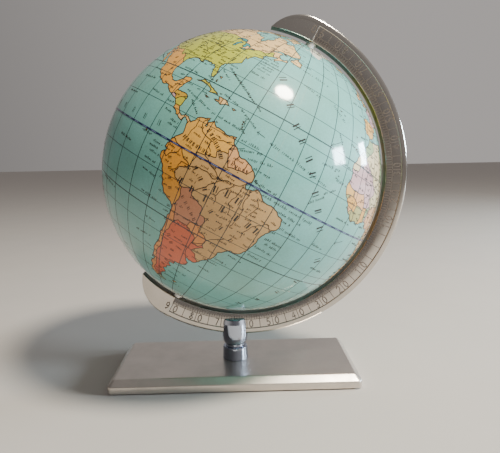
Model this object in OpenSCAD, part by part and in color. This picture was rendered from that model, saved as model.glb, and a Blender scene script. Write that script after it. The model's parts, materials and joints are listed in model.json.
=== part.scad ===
// Desktop globe: a ball of twelve map gores that turns between the ends of a graduated
// metal arm, on a slotted stem and a bevelled base plate.
// Origin: centre of the rest face under the base. +Z up. The arm lies in the XZ plane,
// and the north pole leans towards +X.

/* [Ball] */
// Diameter of the finished ball, over the paper
ball_d = 150; // [120:1:180]
// Thickness of the pressed board shells
shell_t = 2; // [1.5:0.5:3]
// Thickness of the varnished paper
paper_t = 0.4; // [0.3:0.1:0.6]
// Latitude at which the polar caps begin
cap_lat = 80; // [76:1:82]
// Turn of the ball at rest: from the arm's middle to the zero meridian, eastwards
map_turn = -37; // [-180:1:180]
// Longitude of the middle of gore 1
gore_lon = -2; // [-15:0.5:15]
// Diameter of the wooden strut inside the ball
strut_d = 14; // [12:1:20]

/* [Arm] */
// Lean of the ball's axis from the vertical
axis_tilt = 29.4; // [20:0.1:35]
// Distance of the ball's centre from the stem's axis, towards +X
ball_shift = 6.2; // [0:0.1:10]
// Gap between the ball and the arm
arm_gap = 4.3; // [4:0.1:6]
// Radial width of the arm
arm_w = 12.2; // [10:0.1:14]
// Thickness of the arm
arm_t = 7; // [5:0.5:8]
// Radius of the curve that runs each end of the arm out to its tip
arm_end_r = 21.4; // [18:0.1:24]
// Angle past each pole at which that curve leaves the outer edge
arm_end_start = 2; // [0:0.5:4]

/* [Stem] */
// Height of the stem above the base plate
stem_h = 24.4; // [22:0.1:28]
// Height of the arm's seat above the base plate, on the stem's axis
seat_h = 15.3; // [14.5:0.1:16]
// Largest radius of the stem's head
head_r = 7.35; // [6.8:0.05:8]
// Radius of the neck under the head
neck_r = 5.6; // [5:0.1:6]
// Height of the collar at the stem's foot
collar_h = 7.7; // [6:0.1:8]

/* [Base] */
// Width of the base plate
base_w = 136; // [110:1:160]
// Depth of the base plate
base_d = 60; // [50:1:90]
// Thickness of the base plate
plate_t = 7; // [6.5:0.1:10]
// Width of the bevel round the plate's top
bevel_w = 3.5; // [2:0.1:5]
// Height of the same bevel
bevel_h = 3; // [2:0.1:4]
// Thickness of the felt pad
felt_t = 0.6; // [0.5:0.1:1.5]

/* [Hidden] */
$fn = 96;
gore_count = 12;
ball_r = ball_d / 2;
card_r = ball_r - paper_t;
card_in_r = card_r - shell_t;
cap_z = ball_r * sin(cap_lat);

arm_ri = ball_r + arm_gap;
arm_ro = arm_ri + arm_w;
plate_top = felt_t + plate_t;
ball_z = plate_top + seat_h + sqrt(arm_ro * arm_ro - ball_shift * ball_shift);

// Radial play of a shank in its hole
play = 0.05;

// Pivots at the poles
pin_r = 1.5;
bush_r = 3;
bush_flange_r = 4;
bush_flange_t = 0.6;
bush_depth = 13;
pin_depth = 11;
spacer_r = 2.8;
spacer_play = 0.3;
head_seat = 1.2;
pole_head_r = 2.7;
pole_head_t = 1.8;
driver_slot_w = 0.8;
driver_slot_d = 0.7;

// Card strip inside the equator
band_t = 1.2;
band_h = 16;

// Stem screw, from below
screw_r = 2;
screw_reach = 10;
screw_head_r = 3.5;
screw_head_t = 2.4;
washer_r = 3.8;
washer_t = 0.8;
counterbore_r = 4.2;
counterbore_t = 3.6;

// Spigot of the stem, inside the collar
spigot_r = 4;

// Grub screw in the fork's rear cheek
grub_r = 1.5;
grub_l = 3.2;
grub_z = plate_top + (seat_h + stem_h) / 2;

// Base details
corner_r = 3;
foot_bevel = 0.6;
felt_inset = 2;

// Puts children into the ball's own frame: +Z is the north pole, +X the arm's middle
module in_ball() {
    translate([ball_shift, 0, ball_z]) rotate([0, axis_tilt, 0]) children();
}

// The same, turned over so that +Z is the south pole
module in_ball_south() {
    in_ball() mirror([0, 0, 1]) children();
}

// Hollow ball between two radii
module ball_skin(outer, inner) {
    difference() {
        sphere(r = outer);
        sphere(r = inner);
    }
}

// Hole for a pole bush
module bush_hole() {
    cylinder(r = bush_r, h = ball_r + 1);
}

// Hemisphere on the +Z side
module half_shell() {
    color("tan") difference() {
        intersection() {
            ball_skin(card_r, card_in_r);
            translate([-ball_r, -ball_r, 0]) cube([ball_d, ball_d, ball_r]);
        }
        bush_hole();
    }
}

module joint_band() {
    color("burlywood") in_ball() intersection() {
        ball_skin(card_in_r, card_in_r - band_t);
        cylinder(r = ball_r, h = band_h, center = true);
    }
}

module core_strut() {
    reach = sqrt(card_in_r * card_in_r - strut_d * strut_d / 4);
    color("peru") in_ball() difference() {
        cylinder(r = strut_d / 2, h = 2 * reach, center = true);
        for (side = [0, 1]) mirror([0, 0, side])
            translate([0, 0, ball_r - bush_depth]) cylinder(r = bush_r, h = bush_depth);
    }
}

module pole_bush() {
    color("gold") translate([0, 0, ball_r]) difference() {
        union() {
            translate([0, 0, -bush_depth]) cylinder(r = bush_r, h = bush_depth);
            cylinder(r = bush_flange_r, h = bush_flange_t);
        }
        translate([0, 0, -bush_depth - 1])
            cylinder(r = pin_r + play, h = bush_depth + bush_flange_t + 2);
    }
}

// One gore: the paper between two meridians, as far as the polar caps. Gore 1 lies about
// the zero meridian, and the rest follow eastwards.
module map_gore(index) {
    span = 360 / gore_count;
    reach = 2 * ball_r;
    colors = ["paleturquoise", "lightcyan"];
    color(colors[index % 2]) in_ball() intersection() {
        ball_skin(ball_r, card_r);
        rotate([0, 0, map_turn + gore_lon + span * (index - 1.5)])
            linear_extrude(height = 2 * cap_z, center = true)
                polygon([[0, 0], [reach, 0], [reach * cos(span), reach * sin(span)]]);
    }
}

// Its sphere is finer than the rest, because the cap is so small and thin
module polar_cap() {
    color("wheat") difference() {
        intersection() {
            ball_skin(ball_r, card_r, $fn = 360);
            translate([-ball_r, -ball_r, cap_z]) cube([ball_d, ball_d, ball_r]);
        }
        bush_hole();
    }
}

// Outline of the plate from one side, with its bevels
module plate_side(width) {
    polygon([
        [-width / 2 + foot_bevel, 0],
        [width / 2 - foot_bevel, 0],
        [width / 2, foot_bevel],
        [width / 2, plate_t - bevel_h],
        [width / 2 - bevel_w, plate_t],
        [-width / 2 + bevel_w, plate_t],
        [-width / 2, plate_t - bevel_h],
        [-width / 2, foot_bevel]
    ]);
}

// Rectangle with round corners, as a block
module rounded_block(width, depth, height, radius) {
    for (x = [-1, 1], y = [-1, 1])
        translate([x * (width / 2 - radius), y * (depth / 2 - radius), 0])
            cylinder(r = radius, h = height);
    translate([-width / 2 + radius, -depth / 2, 0]) cube([width - 2 * radius, depth, height]);
    translate([-width / 2, -depth / 2 + radius, 0]) cube([width, depth - 2 * radius, height]);
}

module base_plate() {
    color("silver") translate([0, 0, felt_t]) difference() {
        intersection() {
            rounded_block(base_w, base_d, plate_t, corner_r);
            rotate([90, 0, 0]) linear_extrude(height = base_d, center = true) plate_side(base_w);
            rotate([90, 0, 90]) linear_extrude(height = base_w, center = true) plate_side(base_d);
        }
        translate([0, 0, -1]) cylinder(r = screw_r + play, h = plate_t + 2);
        translate([0, 0, -1]) cylinder(r = counterbore_r, h = counterbore_t + 1);
    }
}

module base_felt() {
    color("darkgreen")
        rounded_block(base_w - 2 * felt_inset, base_d - 2 * felt_inset, felt_t, corner_r);
}

module stem_collar() {
    top_r = head_r - 0.45;
    round = 0.8;
    color("gainsboro") translate([0, 0, plate_top]) rotate_extrude() polygon([
        [spigot_r + play, 0],
        [head_r - round / 2, 0],
        [head_r, round / 2],
        [top_r + round / 4, collar_h - round],
        [top_r - round / 4, collar_h - round / 4],
        [top_r - round, collar_h],
        [spigot_r + play, collar_h]
    ]);
}

// Turned post with its head: a bell that widens from the neck to a rim
module stem_blank() {
    neck_top = collar_h + 1.4;
    bell_h = 6;
    rim_h = 3.2;
    steps = 8;
    bell = [for (k = [0 : steps]) [
        neck_r + (head_r - neck_r) * sin(90 * k / steps),
        neck_top + bell_h * (1 - cos(90 * k / steps))
    ]];
    rotate_extrude() polygon(concat(
        [[0, 0], [spigot_r, 0], [spigot_r, collar_h], [neck_r, collar_h]],
        bell,
        [
            [head_r, stem_h - rim_h],
            [head_r - 0.45, stem_h - 0.5],
            [head_r - 1, stem_h],
            [0, stem_h]
        ]
    ));
}

module fork_stem() {
    color("gainsboro") difference() {
        translate([0, 0, plate_top]) difference() {
            stem_blank();
            translate([0, 0, -1]) cylinder(r = screw_r + play, h = screw_reach + 2);
        }
        translate([ball_shift, 0, ball_z]) rotate([90, 0, 0])
            cylinder(r = arm_ro, h = arm_t, center = true, $fn = 360);
        translate([0, arm_t / 2 - 0.5, grub_z]) rotate([-90, 0, 0])
            cylinder(r = grub_r + play, h = head_r);
    }
}

module stem_washer() {
    color("dimgray") translate([0, 0, felt_t + counterbore_t - washer_t]) difference() {
        cylinder(r = washer_r, h = washer_t);
        translate([0, 0, -1]) cylinder(r = screw_r + play, h = washer_t + 2);
    }
}

module stem_screw() {
    seat = felt_t + counterbore_t - washer_t;
    color("dimgray") difference() {
        union() {
            translate([0, 0, seat - screw_head_t]) cylinder(r = screw_head_r, h = screw_head_t);
            translate([0, 0, seat]) cylinder(r = screw_r, h = plate_top + screw_reach - seat);
        }
        translate([-screw_head_r - 1, -driver_slot_w / 2, seat - screw_head_t - 1])
            cube([2 * screw_head_r + 2, driver_slot_w, 1 + driver_slot_d]);
    }
}

module arm_grub_screw() {
    color("dimgray") translate([0, arm_t / 2, grub_z]) rotate([-90, 0, 0]) difference() {
        cylinder(r = grub_r, h = grub_l);
        translate([-grub_r - 1, -0.3, grub_l - 0.8]) cube([2 * grub_r + 2, 0.6, 2]);
    }
}

// Flat outline of the arm in the ball's frame, with X across and Y along the axis
module arm_block() {
    far = arm_ro + 1;
    cut_x = arm_ro * sin(arm_end_start);
    end_at = arm_ro - arm_end_r;
    intersection() {
        difference() {
            cylinder(r = arm_ro, h = arm_t, center = true, $fn = 360);
            cylinder(r = arm_ri, h = arm_t + 2, center = true, $fn = 360);
        }
        union() {
            translate([-cut_x, -far, -arm_t]) cube([far + cut_x, 2 * far, 2 * arm_t]);
            for (side = [-1, 1])
                translate([-end_at * sin(arm_end_start), side * end_at * cos(arm_end_start), 0])
                    cylinder(r = arm_end_r, h = 2 * arm_t, center = true);
        }
    }
}

module meridian_arm() {
    color("lightgray") in_ball() difference() {
        rotate([90, 0, 0]) arm_block();
        for (side = [0, 1]) mirror([0, 0, side]) {
            translate([0, 0, arm_ri - 1]) cylinder(r = pin_r + play, h = arm_w + 2);
            translate([0, 0, arm_ro - head_seat]) cylinder(r = pole_head_r + play, h = 3);
        }
    }
}

module pole_screw() {
    seat = arm_ro - head_seat;
    tip = ball_r - pin_depth;
    color("silver") difference() {
        union() {
            translate([0, 0, tip]) cylinder(r = pin_r, h = seat - tip);
            translate([0, 0, seat]) cylinder(r = pole_head_r, h = pole_head_t - 0.4);
            translate([0, 0, seat + pole_head_t - 0.4])
                cylinder(r1 = pole_head_r, r2 = pole_head_r - 0.5, h = 0.4);
        }
        translate([-pole_head_r - 1, -driver_slot_w / 2, seat + pole_head_t - driver_slot_d])
            cube([2 * pole_head_r + 2, driver_slot_w, 2]);
    }
}

module pole_spacer() {
    bottom = ball_r + bush_flange_t + spacer_play;
    top = sqrt(arm_ri * arm_ri - spacer_r * spacer_r);
    color("silver") translate([0, 0, bottom]) difference() {
        cylinder(r = spacer_r, h = top - bottom);
        translate([0, 0, -1]) cylinder(r = pin_r + play, h = arm_gap + 2);
    }
}

in_ball() half_shell();  // shell_north
in_ball_south() half_shell();  // shell_south
joint_band();
core_strut();
in_ball() pole_bush();  // pole_bush_north
in_ball_south() pole_bush();  // pole_bush_south
map_gore(1);  // map_gore_01
map_gore(2);  // map_gore_02
map_gore(3);  // map_gore_03
map_gore(4);  // map_gore_04
map_gore(5);  // map_gore_05
map_gore(6);  // map_gore_06
map_gore(7);  // map_gore_07
map_gore(8);  // map_gore_08
map_gore(9);  // map_gore_09
map_gore(10);  // map_gore_10
map_gore(11);  // map_gore_11
map_gore(12);  // map_gore_12
in_ball() polar_cap();  // polar_cap_north
in_ball_south() polar_cap();  // polar_cap_south
base_plate();
base_felt();
stem_collar();
fork_stem();
stem_screw();
stem_washer();
meridian_arm();
arm_grub_screw();
in_ball() pole_screw();  // pole_screw_north
in_ball_south() pole_screw();  // pole_screw_south
in_ball() pole_spacer();  // pole_spacer_north
in_ball_south() pole_spacer();  // pole_spacer_south
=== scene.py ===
"""Looks of the desktop globe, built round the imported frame. Metres, +Z up, -Y towards the viewer."""

import json
import math
import random

import bpy
import numpy as np
from mathutils import Matrix, Vector
from mathutils.geometry import delaunay_2d_cdt


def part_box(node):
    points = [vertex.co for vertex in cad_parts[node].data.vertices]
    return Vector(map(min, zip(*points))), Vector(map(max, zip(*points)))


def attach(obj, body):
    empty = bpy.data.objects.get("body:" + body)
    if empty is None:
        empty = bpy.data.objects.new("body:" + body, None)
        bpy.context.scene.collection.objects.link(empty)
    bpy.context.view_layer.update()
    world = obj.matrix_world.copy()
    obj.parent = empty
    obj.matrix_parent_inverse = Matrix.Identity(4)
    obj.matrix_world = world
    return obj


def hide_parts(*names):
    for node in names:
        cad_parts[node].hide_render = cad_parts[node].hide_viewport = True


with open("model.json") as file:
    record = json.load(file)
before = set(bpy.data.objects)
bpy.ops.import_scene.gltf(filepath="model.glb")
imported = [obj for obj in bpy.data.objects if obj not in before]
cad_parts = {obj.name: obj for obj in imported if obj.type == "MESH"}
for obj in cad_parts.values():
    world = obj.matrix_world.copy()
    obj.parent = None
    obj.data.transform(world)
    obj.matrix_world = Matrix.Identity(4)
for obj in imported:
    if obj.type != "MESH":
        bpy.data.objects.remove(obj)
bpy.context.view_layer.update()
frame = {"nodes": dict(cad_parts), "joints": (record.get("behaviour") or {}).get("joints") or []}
MM = 0.001

# ---- camera ----
cam_data = bpy.data.cameras.new("camera")
cam_data.sensor_width = 36
cam_data.lens = 35.28
cam_data.clip_start = 0.01
cam = bpy.data.objects.new("camera", cam_data)
bpy.context.scene.collection.objects.link(cam)
bpy.context.scene.camera = cam
CAMERA_PLACE = (0.00606, -0.2746, 0.1234)
YAW, DOWN, ROLL = (math.radians(a) for a in (-0.82, 8.05, 1.14))
cam.matrix_world = (
    Matrix.Translation(CAMERA_PLACE)
    @ Matrix.Rotation(YAW, 4, "Z")
    @ Matrix.Rotation(-DOWN, 4, "X")
    @ Matrix.Rotation(ROLL, 4, "Y")
    @ Matrix.Rotation(math.pi / 2, 4, "X")
)

# ---- the ball's own frame, from the joint: +Z is the north pole, +X the arm's middle ----
joint = frame["joints"][0]
CENTRE = Vector(joint["pos_m"])
AXIS = Vector(joint["axis"]).normalized()
BALL = np.array(Matrix((Vector((0, 1, 0)).cross(AXIS), Vector((0, 1, 0)), AXIS)).transposed())
MIDDLE = np.array(CENTRE)


def reach(node):
    """Farthest distance of a CAD node's surface from the ball's centre."""
    return max((v.co - CENTRE).length for v in frame["nodes"][node].data.vertices)


RADIUS = reach("map_gore_01")
# the part's own turn of the map, middle of gore 1, number of gores and start of the polar caps
MAP_TURN, GORE_LON, GORES, CAP_LAT = -37.0, -2.0, 12, 80.0
SPAN = 360 / GORES
WEST = GORE_LON - SPAN / 2 - 180
EAST = WEST + 360


# ---- materials ----
def srgb(*rgb):
    """Linear colour, with alpha, of sRGB values from 0 to 255."""
    low, high = [c / 255 / 12.92 for c in rgb], [((c / 255 + 0.055) / 1.055) ** 2.4 for c in rgb]
    return tuple(a if c <= 10 else b for c, a, b in zip(rgb, low, high)) + (1.0,)


class Mat:
    """A node material, built a line at a time."""

    def __init__(self, name, color, metal=0.0, rough=0.5, **sockets):
        self.m = bpy.data.materials.new(name)
        self.m.use_nodes = True
        self.t = self.m.node_tree
        self.bsdf = self.t.nodes["Principled BSDF"]
        values = {"Base Color": srgb(*color), "Metallic": metal, "Roughness": rough}
        values.update({key.replace("_", " "): value for key, value in sockets.items()})
        for socket, value in values.items():
            self.bsdf.inputs[socket].default_value = value

    def node(self, kind, **inputs):
        n = self.t.nodes.new(kind)
        for key, value in inputs.items():
            if hasattr(n, key):
                setattr(n, key, value)
            else:
                n.inputs[key.replace("_", " ")].default_value = value
        return n

    def link(self, a, out, b, socket):
        self.t.links.new(a.outputs[out], b.inputs[socket])

    def noise(self, size, detail=3.0, rough=0.5, stretch=(1, 1, 1)):
        """Noise whose features are about size metres across, closer together along a stretched axis."""
        place, grid = self.node("ShaderNodeTexCoord"), self.node("ShaderNodeMapping", Scale=stretch)
        n = self.node("ShaderNodeTexNoise", Scale=1.0 / size, Detail=detail, Roughness=rough)
        self.link(place, "Object", grid, "Vector")
        self.link(grid, "Vector", n, "Vector")
        return n

    def spread(self, noise, low, high):
        """The noise's middle values, from 0.3 to 0.7, become low to high."""
        r = self.node("ShaderNodeMapRange")
        for key, value in (("From Min", 0.3), ("From Max", 0.7), ("To Min", low), ("To Max", high)):
            r.inputs[key].default_value = value
        self.link(noise, "Fac", r, "Value")
        return r

    def blend(self, factor, first, second, mode="MIX"):
        """Mixes two colours, or colour outputs, by a spread noise."""
        n = self.node("ShaderNodeMix")
        n.data_type, n.blend_type = "RGBA", mode
        self.t.links.new(factor.outputs["Result"], n.inputs[0])
        for socket, value in zip([s for s in n.inputs if s.type == "RGBA"], (first, second)):
            if isinstance(value, bpy.types.NodeSocket):
                self.t.links.new(value, socket)
            else:
                socket.default_value = value
        return [s for s in n.outputs if s.type == "RGBA"][0]

    def base(self, color_socket):
        self.t.links.new(color_socket, self.bsdf.inputs["Base Color"])
        return self

    def rough(self, spread):
        self.link(spread, "Result", self.bsdf, "Roughness")
        return self

    def bump(self, noise, distance, strength):
        b = self.node("ShaderNodeBump", Strength=strength, Distance=distance)
        self.link(noise, "Fac", b, "Height")
        self.link(b, "Normal", self.bsdf, "Normal")
        return self


# ---- printing colours, and the places where each one is poured ----
PRINT = {
    name: srgb(*rgb)
    for name, rgb in {
        "sea": (130, 201, 196), "lake": (50, 160, 165), "back": (226, 214, 186), "seam": (206, 206, 172),
        "green": (196, 204, 62), "lime": (212, 204, 66), "peach": (254, 212, 144), "corn": (250, 190, 88),
        "orange": (248, 182, 78), "gold": (218, 176, 60), "amber": (250, 174, 62), "rose": (252, 188, 128),
        "clay": (212, 142, 104), "tan": (222, 178, 116), "coral": (240, 132, 82), "tile": (232, 112, 72),
        "apricot": (244, 160, 86), "lilac": (220, 178, 184), "cream": (246, 226, 176),
        "olive": (190, 186, 116), "moss": (160, 190, 134), "snow": (238, 234, 218),
    }.items()
}
FILLERS = ["cream", "peach", "olive", "rose", "corn", "moss", "lilac"]
SEEDS = """
green: -100 40, -152 65, 34 56, 100 60, 10 51;
lime: -78.5 22, -84.5 12.6, 78 20, 80.8 7.5, 133 -20;
peach: -105 55, -56 48.6, -72 66, -110 71, -80.5 8.4, -71 19, -66.5 18.2, -18 65, 145 -22, -75 79, 96 47;
corn: -73.5 5, -66 8.7, -4 40, 45 24, 147 -33, 12 43, 105 35, -15 14.6;
orange: -102 23, -91 15, -90 19, -84.2 10, -1.2 8, -11.5 10.8, 139 36, 121 16.5, 145 -38, 38 8;
gold: -86 14.8, 113 0, 102 -1, 110 -7.2, 103 18;
amber: -78.5 -1.2, -76 -9, 20 -8;
rose: -59.2 6, -77.2 18.1, -55.8 4.5, -53.2 3.6, -11.8 8.5, 8 10, 37 -1, -2 53, -8 53, 27 15, 25 -30,
    121.8 -25, 97 22;
clay: -64.5 -17, 125.5 8;
tan: -55 -8, -72.3 19.1, 33 39, 17 18;
coral: -65 -35, 66 33, 30 -18;
apricot: -70.3 -27, -58.3 -23.3;
tile: -56 -33, 100 14, 172 -42, 175.5 -39;
lilac: -10 19, 0 16, 2.5 46, 47 -19, 139 -4, 144.5 -5;
cream: 3 27, -14 24.5, 8 17, 18 27, 132 -27, 15 62;
olive: -5.5 8, 27 27, 66 29;
moss: -6.5 32.3, 9.5 34.5, 54 22, 127 40;
snow: 0 -85, -42 74
"""
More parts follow.
